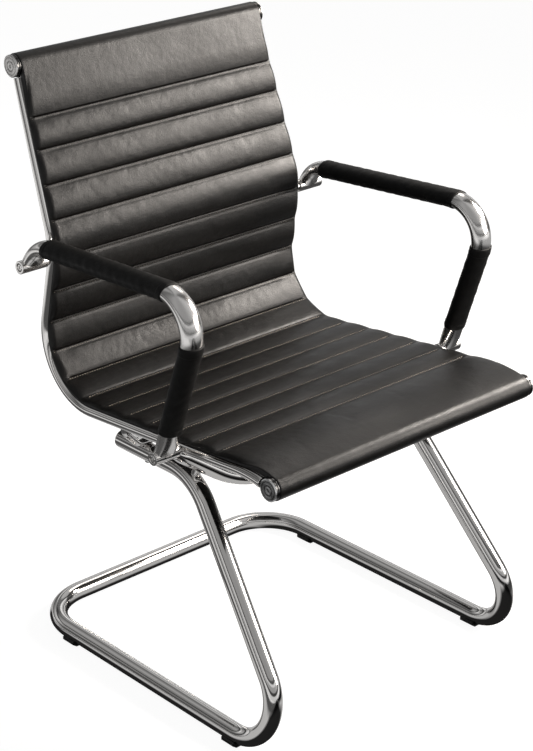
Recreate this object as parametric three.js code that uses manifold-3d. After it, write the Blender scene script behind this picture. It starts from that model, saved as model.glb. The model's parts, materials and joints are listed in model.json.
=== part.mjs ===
// A sled base visitor chair: a ribbed leather sling on two bent chrome rails,
// loop arms with leather sleeves, arched stretchers and one bent sled tube.
// Millimetres, +Z up. The sitter faces -Y, so the sitter's right hand is at -X.
import * as THREE from "three";
import { mergeVertices } from "three/addons/utils/BufferGeometryUtils.js";
import Module from "manifold-3d";

// Clearances
const seat_gap = 0.3;
const chord_room = 0.3;
const cut_overrun = 6;
const merge_room = 1e-4;

// Side profile of the rail's centre line, from the front cross tube up to the top one
const front_axis_y = -213;
const front_axis_z = 434;
const front_rise_angle = 15;
const front_arch_radius = 201;
const seat_slope_angle = 5;
const seat_straight = 324;
const seat_bend_radius = 99;
const lower_back_angle = 9.6;
const lower_back_straight = 81;
const lumbar_radius = 128;
const back_lean_angle = 18.85;
const upper_back_straight = 232.5;

// Side rails
const rail_radius = 8;
const rail_front_half = 250;
const rail_top_draw = 25.5;
const rail_draw_power = 1.7;

// Cross tubes inside the front and top rolls, and their end caps
const cross_tube_radius = 12.5;
const cross_tube_wall = 1.5;
const cap_radius = 16.5;
const cap_thickness = 7.5;
const cap_front_face = rail_front_half + 5.8;
const cap_top_face = rail_front_half - rail_top_draw + 10.7;
const cap_bevel = 1.2;
const cap_rim_groove_width = 1.2;
const cap_rim_groove_depth = 0.7;
const cap_rim_groove_place = 2.2;
const cap_ring_inner = 6;
const cap_ring_outer = 7.8;
const cap_ring_depth = 0.8;
const cap_dimple_radius = 2.4;
const cap_spigot_length = 14;

// Ribbed leather sling
const roll_radius = 17.5;
const seam_level = 12.5;
const sling_edge_thickness = 2.2;
const sling_shoulder_thickness = 3.9;
const sling_shoulder_width = 7;
const sling_margin = 18;
const sling_overhang = 4;
const sling_corner_start = 22;
const sling_corner_end = 64;
const rib_count = 15;
const first_seam = 108;
const rib_pitch = 51.1;
const rib_power = 3.5;
const rib_station_shares = [0, 0.08, 0.3, 0.7, 0.92];
const band_station_shares = [0.3, 0.08];
const band_ease = 26;
const band_step = 22;
const cap_room_radius = 19;

// Oval loop arms with T ends
const arm_half_width = 17.6;
const arm_half_thick = 12.1;
const arm_front_half = rail_front_half + 31;
const arm_rear_half = rail_front_half + 19.5;
const arm_front_corner_y = -116;
const arm_front_corner_z = 677.5;
const arm_rear_corner_y = 256;
const arm_rear_corner_z = 654;
const arm_front_radius = 54;
const arm_rear_radius = 47;
const tee_radius = 9.8;
const tee_front_length = 42.5;
const tee_rear_length = 46;
const tee_front_y = -31.5;
const tee_front_z = 430.2;
const tee_rear_y = 271;
const tee_rear_z = 622;
const tee_flare = 34;
const flare_shares = [0, 0.25, 0.5, 0.75];
const tee_neck_thick = 8.6;
const tee_bore_radius = 6;
const tee_bore_depth = 3;
const washer_radius = 7.6;
const washer_thickness = 4;
const bolt_head_radius = 5.7;
const bolt_head_height = 2.2;
const bolt_dome = 0.7;

// Leather sleeves on the arms
const sleeve_thickness = 1.1;
const hem_height = 0.8;
const hem_width = 3;
const hem_inset = 9;
const top_sleeve_front_y = -47;
const top_sleeve_rear_y = 229;
const front_sleeve_top_z = 611.5;
const front_sleeve_low_z = 470.5;

// Arched stretchers between the rails
const bow_radius = 11;
const bow_neck_scale = 0.62;
const stretcher_half_width = 7;
const stretcher_half_height = 5.5;
const stretcher_neck_radius = 12;
const stretcher_taper = 30;
const front_stretcher_y = -12;
const front_stretcher_neck = 13;
const front_stretcher_drop = 105.9;
const front_stretcher_share = 0.475;
const front_stretcher_radius = 216;
const rear_stretcher_y = 100;
const rear_stretcher_neck = 12;
const rear_stretcher_shoulder = 20;
const rear_stretcher_bend_radius = 20;
const back_stretcher_neck = 14;
const back_stretcher_slope_angle = 20;
const back_stretcher_radius = 560;

// Sled tube
const sled_radius = 14;
const sled_wall = 1.8;
const sled_front_half = rail_front_half + 0.2;
const sled_rear_half = rail_front_half - 2.5;
const sled_run_half = rail_front_half - 47;
const sled_floor_z = 18.5;
const sled_front_y = -280;
const sled_rear_y = 336;
const sled_knee_y = -3;
const sled_run_z = 362;
const sled_run_end_y = 160;
const sled_knee_radius = 95;
const sled_front_radius = 68;
const sled_rear_radius = 86;
const plug_thickness = 2.5;
const plug_spigot_length = 12;
const plug_edge = 1;

// Sled mounting and floor glides
const mount_post_radius = 7;
const mount_bolt_radius = 6.5;
const mount_bolt_height = 1.5;
const glide_length = 26;
const glide_thickness = 2.5;
const glide_wall = 2.4;
const glide_pad_half = 8.5;
const glide_wrap_angle = 66;
const front_glide_y = -137;
const rear_glide_y = 236;

// Facets
const bend_step_angle = 11;
const round_sides = 14;
const stretcher_sides = 12;
const bore_sides = 8;
const small_sides = 16;
const rail_sides = 12;
const cap_sides = 20;
const rail_longest_step = 60;
const draw_shares = 1000;

const wasm = await Module();
wasm.setup();

const rad = THREE.MathUtils.degToRad;
const upright = Math.PI / 2;
const half_upright = upright / 2;

// Materials
const chrome = () =>
  new THREE.MeshStandardMaterial({ color: 0xd6d3cf, roughness: 0.08, metalness: 1 });
const leather = () =>
  new THREE.MeshStandardMaterial({ color: 0x232120, roughness: 0.42, metalness: 0 });
const sleeveLeather = () =>
  new THREE.MeshStandardMaterial({ color: 0x141312, roughness: 0.5, metalness: 0 });
const blackPlastic = () =>
  new THREE.MeshStandardMaterial({ color: 0x101010, roughness: 0.6, metalness: 0 });

// Solids and booleans
function toSolid(geometry) {
  const plain = geometry.index ? geometry.toNonIndexed() : geometry.clone();
  plain.deleteAttribute("normal");
  plain.deleteAttribute("uv");
  const merged = mergeVertices(plain, merge_room);
  return new wasm.Manifold(
    new wasm.Mesh({
      numProp: 3,
      vertProperties: merged.attributes.position.array,
      triVerts: new Uint32Array(merged.index.array),
    }),
  );
}

function toGeometry(solid) {
  const mesh = solid.getMesh();
  const geometry = new THREE.BufferGeometry();
  geometry.setAttribute(
    "position",
    new THREE.BufferAttribute(new Float32Array(mesh.vertProperties), 3),
  );
  geometry.setIndex(new THREE.BufferAttribute(new Uint32Array(mesh.triVerts), 1));
  geometry.computeVertexNormals();
  return geometry;
}

function join(...geometries) {
  const solids = geometries.map(toSolid);
  return solids.slice(1).reduce((sum, next) => sum.add(next), solids[0]);
}

function cut(solid, ...geometries) {
  return geometries.reduce((rest, next) => rest.subtract(toSolid(next)), solid);
}

// A curve that is sampled at its own stations, one where it is straight and many where it bends
class StationPath extends THREE.Curve {
  constructor(points, tangents) {
    super();
    this.points = points;
    this.tangents = tangents;
    this.last = points.length - 1;
  }
  getPoint(share, target = new THREE.Vector3()) {
    const place = share * this.last;
    const index = Math.min(Math.floor(place), this.last - 1);
    return target.copy(this.points[index]).lerp(this.points[index + 1], place - index);
  }
  getPointAt(share, target) {
    return this.getPoint(share, target);
  }
  getTangent(share, target = new THREE.Vector3()) {
    return target.copy(this.tangents[Math.round(share * this.last)]);
  }
  getTangentAt(share, target) {
    return this.getTangent(share, target);
  }
}

// Straight runs through the corners, each inner corner rounded with its own bend radius
function bentPath(corners, radii) {
  const points = [];
  const tangents = [];
  const add = (point, tangent) => {
    points.push(point);
    tangents.push(tangent.clone());
  };
  corners.forEach((corner, index) => {
    const before = corners[index - 1];
    const after = corners[index + 1];
    const inward = before && corner.clone().sub(before).normalize();
    const outward = after && after.clone().sub(corner).normalize();
    if (!before || !after) {
      add(corner.clone(), inward || outward);
      return;
    }
    const turn = inward.angleTo(outward);
    const radius = radii[index - 1];
    const reach = radius * Math.tan(turn / 2);
    const start = corner.clone().addScaledVector(inward, -reach);
    const side = outward.clone().addScaledVector(inward, -outward.dot(inward)).normalize();
    const centre = start.clone().addScaledVector(side, radius);
    const steps = Math.ceil(turn / rad(bend_step_angle));
    for (let step = 0; step <= steps; step += 1) {
      const angle = (turn * step) / steps;
      const point = centre
        .clone()
        .addScaledVector(side, -radius * Math.cos(angle))
        .addScaledVector(inward, radius * Math.sin(angle));
      const tangent = inward
        .clone()
        .multiplyScalar(Math.cos(angle))
        .addScaledVector(side, Math.sin(angle));
      add(point, tangent);
    }
  });
  return new StationPath(points, tangents);
}

// A section pushed along a path
function sweep(path, section, sides) {
  return new THREE.ExtrudeGeometry(section, {
    steps: path.last,
    curveSegments: sides / 2,
    extrudePath: path,
  });
}

function disc(radius) {
  return new THREE.Shape().absarc(0, 0, radius, 0, 2 * Math.PI, false);
}

// Rings of points joined into one closed skin; each ring runs the same way round
function loft(rings) {
  const count = rings[0].length;
  const positions = rings.flat().flatMap((point) => [point.x, point.y, point.z]);
  const index = [];
  for (let ring = 0; ring < rings.length - 1; ring += 1) {
    for (let side = 0; side < count; side += 1) {
      const next = (side + 1) % count;
      const low = ring * count;
      const high = low + count;
      index.push(low + side, low + next, high + next);
      index.push(low + side, high + next, high + side);
    }
  }
  const end = (rings.length - 1) * count;
  for (let side = 1; side < count - 1; side += 1) {
    index.push(0, side + 1, side);
    index.push(end, end + side, end + side + 1);
  }
  const geometry = new THREE.BufferGeometry();
  geometry.setAttribute("position", new THREE.Float32BufferAttribute(positions, 3));
  geometry.setIndex(index);
  return geometry;
}

// An oval ring across a path, its width along X
function ovalRing(point, tangent, half_width, half_thick, sides) {
  const across = new THREE.Vector3(1, 0, 0);
  across.addScaledVector(tangent, -across.dot(tangent)).normalize();
  const up = new THREE.Vector3().crossVectors(tangent, across);
  return Array.from({ length: sides }, (_, side) => {
    const angle = (2 * Math.PI * side) / sides;
    return point
      .clone()
      .addScaledVector(across, half_width * Math.cos(angle))
      .addScaledVector(up, half_thick * Math.sin(angle));
  });
}

// A round bar along X between two places
function barAlongX(radius, from_x, to_x, y, z, sides) {
  const bar = new THREE.CylinderGeometry(radius, radius, Math.abs(to_x - from_x), sides);
  bar.rotateZ(Math.PI / 2);
  bar.translate((from_x + to_x) / 2, y, z);
  return bar;
}

// A turned piece about the X axis, from [place along the axis, radius] pairs, pointing to the side
function turned(pairs, side, origin, sides) {
  const outline = pairs.map(([along, radius]) => new THREE.Vector2(radius, along));
  const body = new THREE.LatheGeometry(outline, sides);
  body.rotateZ(-Math.PI / 2);
  if (side < 0) body.rotateY(Math.PI);
  body.translate(origin.x, origin.y, origin.z);
  return body;
}

// Side profile
const profile_parts = [];
let profile_length = 0;

function layProfile() {
  let y = front_axis_y;
  let z = front_axis_z;
  let heading = rad(front_rise_angle);
  const run = (length) => {
    profile_parts.push({ start: profile_length, length, y, z, heading, curve: 0 });
    y += length * Math.cos(heading);
    z += length * Math.sin(heading);
    profile_length += length;
  };
  const bend = (radius, to_heading) => {
    const turn = to_heading - heading;
    const length = radius * Math.abs(turn);
    const curve = turn / length;
    profile_parts.push({ start: profile_length, length, y, z, heading, curve });
    y += (Math.sin(to_heading) - Math.sin(heading)) / curve;
    z -= (Math.cos(to_heading) - Math.cos(heading)) / curve;
    heading = to_heading;
    profile_length += length;
  };
  bend(front_arch_radius, -rad(seat_slope_angle));
  run(seat_straight);
  bend(seat_bend_radius, upright + rad(lower_back_angle));
  run(lower_back_straight);
  bend(lumbar_radius, upright - rad(back_lean_angle));
  run(upper_back_straight);
}
layProfile();

// Place and heading on the profile at a length from the front cross tube
function profileAt(place) {
  const part = profile_parts.findLast((one) => one.start <= place) || profile_parts[0];
  const along = place - part.start;
  const heading = part.heading + part.curve * along;
  if (part.curve === 0) {
    const y = part.y + along * Math.cos(heading);
    return { y, z: part.z + along * Math.sin(heading), heading };
  }
  const y = part.y + (Math.sin(heading) - Math.sin(part.heading)) / part.curve;
  const z = part.z - (Math.cos(heading) - Math.cos(part.heading)) / part.curve;
  return { y, z, heading };
}

function railHalf(place) {
  return rail_front_half - rail_top_draw * Math.pow(place / profile_length, rail_draw_power);
}

// The profile's place whose height or depth is nearest to a wanted one, on the seat or the back
function placeWhere(test) {
  let low = 0;
  let high = profile_length;
  const halvings = 40;
  for (let round = 0; round < halvings; round += 1) {
    const middle = (low + high) / 2;
    if (test(profileAt(middle))) low = middle;
    else high = middle;
  }
  return (low + high) / 2;
}

const top_axis = profileAt(profile_length);
const front_axis = profileAt(0);

// Side rails
function railPath(side) {
  const points = [];
  const tangents = [];
  const places = [];
  profile_parts.forEach((part) => {
    const bend_steps = Math.ceil(Math.abs(part.curve * part.length) / rad(bend_step_angle));
    const steps = Math.max(bend_steps, Math.ceil(part.length / rail_longest_step));
    for (let step = 0; step < steps; step += 1) {
      places.push(part.start + (part.length * step) / steps);
    }
  });
  places.push(profile_length);
  const nudge = profile_length / draw_shares;
  places.forEach((place) => {
    const { y, z, heading } = profileAt(place);
    points.push(new THREE.Vector3(side * railHalf(place), y, z));
    const draw = (railHalf(place + nudge) - railHalf(Math.max(place - nudge, 0))) / (2 * nudge);
    tangents.push(
      new THREE.Vector3(side * draw, Math.cos(heading), Math.sin(heading)).normalize(),
    );
  });
  return new StationPath(points, tangents);
}

const rail_clear = [-1, 1].map((side) =>
  sweep(railPath(side), disc(rail_radius + seat_gap), rail_sides),
);

function rollBar(radius, axis, half) {
  return barAlongX(radius, -half, half, axis.y, axis.z, cap_sides);
}

function sideRail(side) {
  const rail = toSolid(sweep(railPath(side), disc(rail_radius), rail_sides));
  const reach = rail_front_half + rail_radius + cut_overrun;
  const roll_clear = roll_radius + seat_gap;
  return cut(rail, rollBar(roll_clear, front_axis, reach), rollBar(roll_clear, top_axis, reach));
}

// Cross tubes
function crossTube(axis, half) {
  const bore = cross_tube_radius - cross_tube_wall;
  const tube = toSolid(rollBar(cross_tube_radius, axis, half));
  return cut(tube, rollBar(bore, axis, half + cut_overrun));
}

// End caps, with a ring sunk in the face and a groove round the rim
function endCap(side, axis, cap_face) {
  const spigot = cross_tube_radius - cross_tube_wall - seat_gap;
  const groove_floor = cap_radius - cap_rim_groove_depth;
  const groove_end = cap_rim_groove_place + cap_rim_groove_width;
  const sunk = cap_thickness - cap_ring_depth;
  const pairs = [
    [-cap_spigot_length, 0],
    [-cap_spigot_length, spigot],
    [0, spigot],
    [0, cap_radius],
    [cap_rim_groove_place, cap_radius],
    [cap_rim_groove_place, groove_floor],
    [groove_end, groove_floor],
    [groove_end, cap_radius],
    [cap_thickness - cap_bevel, cap_radius],
    [cap_thickness, cap_radius - cap_bevel],
    [cap_thickness, cap_ring_outer],
    [sunk, cap_ring_outer],
    [sunk, cap_ring_inner],
    [cap_thickness, cap_ring_inner],
    [cap_thickness, cap_dimple_radius],
    [sunk, 0],
  ];
  const origin = new THREE.Vector3(side * (cap_face - cap_thickness), axis.y, axis.z);
  return toSolid(turned(pairs, side, origin, cap_sides));
}

// Ribbed leather sling: a panel lofted along the profile over the rails, with a roll round
// each cross tube and room cut for the tubes
function ribCrown(share) {
  return 1 - Math.pow(Math.abs(2 * share - 1), rib_power);
}

function bandCrown(distance) {
  const share = Math.min(distance / band_ease, 1);
  return ribCrown(share / 2);
}

function slingStations() {
  const last_seam = first_seam + rib_count * rib_pitch;
  const stations = [];
  const add = (place, crown) => stations.push({ place, crown });
  const front_steps = Math.ceil(first_seam / band_step);
  const top_band = profile_length - last_seam;
  const top_steps = Math.ceil(top_band / band_step);
  for (let step = 0; step < front_steps; step += 1) {
    const place = (first_seam * step) / front_steps;
    add(place, bandCrown(first_seam - place));
  }
  band_station_shares.forEach((share) => {
    const distance = share * band_ease;
    add(first_seam - distance, bandCrown(distance));
  });
  for (let rib = 0; rib < rib_count; rib += 1) {
    rib_station_shares.forEach((share) => {
      add(first_seam + (rib + share) * rib_pitch, ribCrown(share));
    });
  }
  add(last_seam, 0);
  band_station_shares.forEach((share) => {
    const distance = share * band_ease;
    add(last_seam + distance, bandCrown(distance));
  });
  for (let step = 1; step <= top_steps; step += 1) {
    const place = last_seam + (top_band * step) / top_steps;
    add(place, bandCrown(place - last_seam));
  }
  return stations.sort((one, other) => one.place - other.place);
}

// The panel is as wide as its roll at each end, and laps the rails between
const front_roll_half = cap_front_face - cap_thickness - seat_gap;
const top_roll_half = cap_top_face - cap_thickness - seat_gap;

function slingHalf(place) {
  const full = railHalf(place) + sling_overhang;
  const share = (from_axis) =>
    THREE.MathUtils.smoothstep(from_axis, sling_corner_start, sling_corner_end);
  const from_top = profile_length - place;
  return place < from_top
    ? THREE.MathUtils.lerp(front_roll_half, full, share(place))
    : THREE.MathUtils.lerp(top_roll_half, full, share(from_top));
}

function slingPad() {
  const rib_height = roll_radius - seam_level;
  const under = rail_radius + seat_gap + chord_room;
  const rings = slingStations().map(({ place, crown }) => {
    const { y, z, heading } = profileAt(place);
    const edge = slingHalf(place);
    const level = seam_level + rib_height * crown;
    const half_outline = [
      [edge, under],
      [edge, under + sling_edge_thickness],
      [edge - sling_shoulder_width, under + sling_shoulder_thickness],
      [edge - sling_margin, level],
    ];
    const outline = [
      ...half_outline,
      ...half_outline.toReversed().map(([x, height]) => [-x, height]),
    ];
    return outline.map(
      ([x, height]) =>
        new THREE.Vector3(x, y - height * Math.sin(heading), z + height * Math.cos(heading)),
    );
  });
  const whole = join(
    loft(rings.map((ring) => ring.toReversed())),
    rollBar(roll_radius, front_axis, front_roll_half),
    rollBar(roll_radius, top_axis, top_roll_half),
  );
  const past_edge = rail_front_half + sling_overhang + cut_overrun;
  const tube_room = cross_tube_radius + seat_gap;
  const capRoom = (side, half, { y, z }) =>
    barAlongX(cap_room_radius, side * half, side * past_edge, y, z, cap_sides);
  return cut(
    whole,
    rollBar(tube_room, front_axis, past_edge),
    rollBar(tube_room, top_axis, past_edge),
    ...[-1, 1].flatMap((side) => [
      capRoom(side, front_roll_half, front_axis),
      capRoom(side, top_roll_half, top_axis),
    ]),
  );
}

// Loop arms: an oval bar bent over the side, its ends flared onto a T that is bolted to the rail
const seat_tee_place = placeWhere((at) => at.heading < half_upright && at.y < tee_front_y);
const back_tee_place = placeWhere((at) => at.z < tee_rear_z || at.heading < half_upright);
const tee_inner_front = railHalf(seat_tee_place) + rail_radius + washer_thickness + 2 * seat_gap;
const tee_inner_rear = railHalf(back_tee_place) + rail_radius + washer_thickness + 2 * seat_gap;
const tee_front_face = tee_inner_front + tee_front_length;
const tee_rear_face = tee_inner_rear + tee_rear_length;

function armPath(side) {
  const front_x = (side * (tee_front_face + tee_inner_front)) / 2;
  const rear_x = (side * (tee_rear_face + tee_inner_rear)) / 2;
  const corners = [
    new THREE.Vector3(front_x, tee_front_y, tee_front_z),
    new THREE.Vector3(side * arm_front_half, arm_front_corner_y, arm_front_corner_z),
    new THREE.Vector3(side * arm_rear_half, arm_rear_corner_y, arm_rear_corner_z),
    new THREE.Vector3(rear_x, tee_rear_y, tee_rear_z),
  ];
  return bentPath(corners, [arm_front_radius, arm_rear_radius]);
}

function armFrame(side) {
  const path = armPath(side);
  const front_end = path.points[0];
  const rear_end = path.points[path.last];
  const front_half = (tee_front_face - tee_inner_front) / 2;
  const rear_half = (tee_rear_face - tee_inner_rear) / 2;
  const ringAt = (point, tangent, distance, tee_half) => {
    const ease = Math.pow(1 - Math.min(distance / tee_flare, 1), 2);
    const width = THREE.MathUtils.lerp(arm_half_width, tee_half, ease);
    const thick = THREE.MathUtils.lerp(arm_half_thick, tee_neck_thick, ease);
    return ovalRing(point, tangent, width, thick, round_sides);
  };
  const rings = flare_shares.map((share) => {
    const distance = share * tee_flare;
    const point = front_end.clone().addScaledVector(path.tangents[0], distance);
    return ringAt(point, path.tangents[0], distance, front_half);
  });
  path.points.slice(1).forEach((point, index) => {
    rings.push(ringAt(point, path.tangents[index + 1], point.distanceTo(rear_end), rear_half));
  });
  const tees = [
    [tee_front_face, tee_inner_front, tee_front_y, tee_front_z],
    [tee_rear_face, tee_inner_rear, tee_rear_y, tee_rear_z],
  ];
  const along = (radius, [, , y, z], from, to) =>
    barAlongX(radius, side * from, side * to, y, z, small_sides);
  const bars = tees.map((tee) => along(tee_radius, tee, tee[1], tee[0]));
  const bores = tees.map((tee) =>
    along(tee_bore_radius, tee, tee[0] - tee_bore_depth, tee[0] + cut_overrun),
  );
  const trims = tees.flatMap((tee) => [
    along(tee_flare, tee, tee[0], tee[0] + tee_flare),
    along(tee_flare, tee, tee[1] - tee_flare, tee[1]),
  ]);
  return cut(join(loft(rings), ...bars), ...bores, ...trims);
}

function armWasher(side, place, y, z) {
  const start = railHalf(place) + rail_radius + seat_gap;
  const end = start + washer_thickness;
  return toSolid(barAlongX(washer_radius, side * start, side * end, y, z, small_sides));
}

function armBolt(side, face, y, z) {
  const pairs = [
    [0, 0],
    [0, bolt_head_radius],
    [bolt_head_height - bolt_dome, bolt_head_radius],
    [bolt_head_height, bolt_head_radius - 2 * bolt_dome],
    [bolt_head_height, 0],
  ];
  const origin = new THREE.Vector3(side * (face - tee_bore_depth + seat_gap), y, z);
  return toSolid(turned(pairs, side, origin, small_sides));
}

// Sleeves: a thin oval tube that follows the arm, with a raised hem near each end
function placeOn(path, length) {
  let index = 1;
  let passed = 0;
  let step = path.points[1].distanceTo(path.points[0]);
  while (passed + step < length && index < path.last) {
    passed += step;
    index += 1;
    step = path.points[index].distanceTo(path.points[index - 1]);
  }
  const share = (length - passed) / step;
  const point = path.points[index - 1].clone().lerp(path.points[index], share);
  const tangent = path.tangents[index - 1].clone().lerp(path.tangents[index], share);
  return { point, tangent: tangent.normalize() };
}

// The lengths along a path at which its depth or height has a wanted value
function lengthsAt(path, axis, value) {
  const found = [];
  let passed = 0;
  path.points.slice(1).forEach((point, index) => {
    const before = path.points[index];
    const step = point.distanceTo(before);
    const share = (value - before[axis]) / (point[axis] - before[axis]);
    if (share >= 0 && share < 1) found.push(passed + share * step);
    passed += step;
  });
  return found;
}

function sleeve(path, from, to) {
  const length = to - from;
  const inner = seat_gap;
  const outer = seat_gap + sleeve_thickness;
  const half_hem = hem_width / 2;
  const growAt = (distance) => {
    const from_end = Math.min(distance, length - distance);
    const rise = 1 - Math.abs(from_end - hem_inset - half_hem) / half_hem;
    return outer + hem_height * Math.max(rise, 0);
  };
  const hems = [0, hem_inset, hem_inset + half_hem, hem_inset + hem_width];
  const stops = [...hems, ...hems.map((hem) => length - hem)];
  let passed = -from;
  path.points.slice(1).forEach((point, index) => {
    passed += point.distanceTo(path.points[index]);
    const nearest = Math.min(...stops.map((stop) => Math.abs(stop - passed)));
    if (passed > 0 && passed < length && nearest > seat_gap) stops.push(passed);
  });
  stops.sort((one, other) => one - other);
  const ringAt = (distance, grow) => {
    const { point, tangent } = placeOn(path, from + distance);
    return ovalRing(
      point,
      tangent,
      arm_half_width + grow,
      arm_half_thick + grow,
      round_sides,
    );
  };
  const skin = loft(stops.map((distance) => ringAt(distance, growAt(distance))));
  const ends = [-cut_overrun, length + cut_overrun];
  const core_stops = [ends[0], ...stops.slice(1, -1), ends[1]];
  const core = loft(core_stops.map((distance) => ringAt(distance, inner)));
  return cut(toSolid(skin), core);
}

function topSleeve(side) {
  const path = armPath(side);
  const from = lengthsAt(path, "y", top_sleeve_front_y).at(-1);
  return sleeve(path, from, lengthsAt(path, "y", top_sleeve_rear_y).at(-1));
}

function frontSleeve(side) {
  const path = armPath(side);
  const [from] = lengthsAt(path, "z", front_sleeve_low_z);
  return sleeve(path, from, lengthsAt(path, "z", front_sleeve_top_z)[0]);
}

// Stretchers: oval bars that drop from one rail and cross to the other, made from the corners
// of the right half as [half width, drop] pairs; their ends are shaped to the rails
function stretcherPath(place, half_corners, middle_radius, drop_way, section) {
  const { y, z } = profileAt(place);
  const start = new THREE.Vector3(0, y, z);
  const at = ([x, drop]) => start.clone().addScaledVector(drop_way, drop).setX(x);
  const whole = half_corners.filter(([x]) => x > 0);
  const crossing = half_corners.filter(([x]) => x === 0);
  const corners = [
    ...whole.map(([x, drop]) => at([-x, drop])),
    ...crossing.map(at),
    ...whole.toReversed().map(at),
  ];
  const bends = corners.slice(2).map((_, index, all) => {
    if (index === 0 || index === all.length - 1) return stretcher_neck_radius;
    return middle_radius;
  });
  const path = bentPath(corners, bends);
  path.width_way = new THREE.Vector3().crossVectors(new THREE.Vector3(1, 0, 0), drop_way);
  [path.half_width, path.half_height, path.neck_scale] = section;
  return path;
}

function stretcherBar(path, grow) {
  const ends = [path.points[0], path.points[path.last]];
  const rings = path.points.map((point, index) => {
    const from_end = Math.min(...ends.map((end) => end.distanceTo(point)));
    const ease = THREE.MathUtils.smoothstep(from_end, 0, stretcher_taper);
    const scale = THREE.MathUtils.lerp(path.neck_scale, 1, ease);
    const half_width = path.half_width * scale + grow;
    const half_height = path.half_height * scale + grow;
    const thick_way = new THREE.Vector3().crossVectors(path.tangents[index], path.width_way);
    return Array.from({ length: stretcher_sides }, (_, side) => {
      const angle = (2 * Math.PI * side) / stretcher_sides;
      return point
        .clone()
        .addScaledVector(path.width_way, half_width * Math.cos(angle))
        .addScaledVector(thick_way, half_height * Math.sin(angle));
    });
  });
  return loft(rings);
}

function bowCorners(half, neck, slope_angle) {
  return [
    [half, 0],
    [half, neck],
    [0, neck + half * Math.tan(rad(slope_angle))],
  ];
}

const down_way = new THREE.Vector3(0, 0, -1);
const rearward_way = new THREE.Vector3(0, 1, 0);
const seatPlace = (y) => placeWhere((at) => at.heading < half_upright && at.y < y);
const bow_place = seatPlace(front_stretcher_y);
const rear_bar_place = seatPlace(rear_stretcher_y);
const rear_bar_height = sled_run_z + sled_radius + seat_gap + stretcher_half_height;
const flat_section = [stretcher_half_width, stretcher_half_height, 1];
const front_stretcher = stretcherPath(
  bow_place,
  [
    [railHalf(bow_place), 0],
    [railHalf(bow_place), front_stretcher_neck],
    [front_stretcher_share * railHalf(bow_place), front_stretcher_drop],
  ],
  front_stretcher_radius,
  down_way,
  [bow_radius, bow_radius, bow_neck_scale],
);
const rear_stretcher = stretcherPath(
  rear_bar_place,
  [
    [railHalf(rear_bar_place), 0],
    [railHalf(rear_bar_place), rear_stretcher_neck],
    [sled_run_half + rear_stretcher_shoulder, profileAt(rear_bar_place).z - rear_bar_height],
  ],
  rear_stretcher_bend_radius,
  down_way,
  flat_section,
);
const back_stretcher = stretcherPath(
  back_tee_place,
  bowCorners(railHalf(back_tee_place), back_stretcher_neck, back_stretcher_slope_angle),
  back_stretcher_radius,
  rearward_way,
  flat_section,
);

function stretcher(path) {
  return cut(toSolid(stretcherBar(path, 0)), ...rail_clear);
}

// Sled: one tube from the right seat run, down and round the floor, up to the left seat run
function sledPath(overrun) {
  const right = [
    new THREE.Vector3(-sled_run_half, sled_run_end_y + overrun, sled_run_z),
    new THREE.Vector3(-sled_run_half, sled_knee_y, sled_run_z),
    new THREE.Vector3(-sled_front_half, sled_front_y, sled_floor_z),
    new THREE.Vector3(-sled_rear_half, sled_rear_y, sled_floor_z),
  ];
  const left = right.toReversed().map((point) => new THREE.Vector3(-point.x, point.y, point.z));
  const radii = [sled_knee_radius, sled_front_radius, sled_rear_radius];
  return bentPath([...right, ...left], [...radii, ...radii.toReversed()]);
}

const sled_path = sledPath(0);
const sled_clear = sweep(sled_path, disc(sled_radius + seat_gap), round_sides);

function sledTube() {
  const tube = toSolid(sweep(sled_path, disc(sled_radius), round_sides));
  const bore_path = sledPath(cut_overrun);
  return cut(tube, sweep(bore_path, disc(sled_radius - sled_wall), bore_sides));
}

function sledPlug(side) {
  const bore_flat = (sled_radius - sled_wall) * Math.cos(Math.PI / bore_sides);
  const spigot = bore_flat - seat_gap;
  const outline = [
    [-plug_spigot_length, 0],
    [-plug_spigot_length, spigot],
    [0, spigot],
    [0, sled_radius],
    [plug_thickness - plug_edge, sled_radius],
    [plug_thickness, sled_radius - plug_edge],
    [plug_thickness, 0],
  ].map(([along, radius]) => new THREE.Vector2(radius, along));
  const plug = new THREE.LatheGeometry(outline, small_sides);
  plug.translate(side * sled_run_half, sled_run_end_y + seat_gap, 0);
  plug.translate(0, 0, sled_run_z);
  return toSolid(plug);
}

// Front posts between the sled's upper bends and the arched stretcher, and bolts from below
function pointAtX(from, to, x) {
  return from.clone().lerp(to, (x - from.x) / (to.x - from.x));
}

function onStretcher(path, x) {
  const index = path.points.findIndex((point) => point.x >= x);
  return pointAtX(path.points[index - 1], path.points[index], x);
}

function frontMount(side) {
  const high = onStretcher(front_stretcher, side * sled_run_half);
  const low = new THREE.Vector3(high.x, sled_path.points[1].y, sled_run_z - sled_knee_radius);
  const way = high.clone().sub(low).normalize();
  return [low.addScaledVector(way, sled_knee_radius), high];
}

function rearMount(side) {
  const high = onStretcher(rear_stretcher, side * sled_run_half);
  return [high.clone().setZ(sled_run_z), high];
}

function cylinderBetween(radius, from, to) {
  const along = to.clone().sub(from);
  const body = new THREE.CylinderGeometry(radius, radius, along.length(), small_sides);
  const turn = new THREE.Quaternion().setFromUnitVectors(
    new THREE.Vector3(0, 1, 0),
    along.clone().normalize(),
  );
  body.applyQuaternion(turn);
  const middle = from.clone().lerp(to, 1 / 2);
  body.translate(middle.x, middle.y, middle.z);
  return body;
}

function mountPost([low, high]) {
  const post = toSolid(cylinderBetween(mount_post_radius, low, high));
  return cut(post, sled_clear, stretcherBar(front_stretcher, seat_gap));
}

function mountBolt([low, high]) {
  const way = low.clone().sub(high).normalize();
  const end = low.clone().addScaledVector(way, sled_radius + seat_gap + mount_bolt_height);
  return cut(toSolid(cylinderBetween(mount_bolt_radius, low, end)), sled_clear);
}

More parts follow.
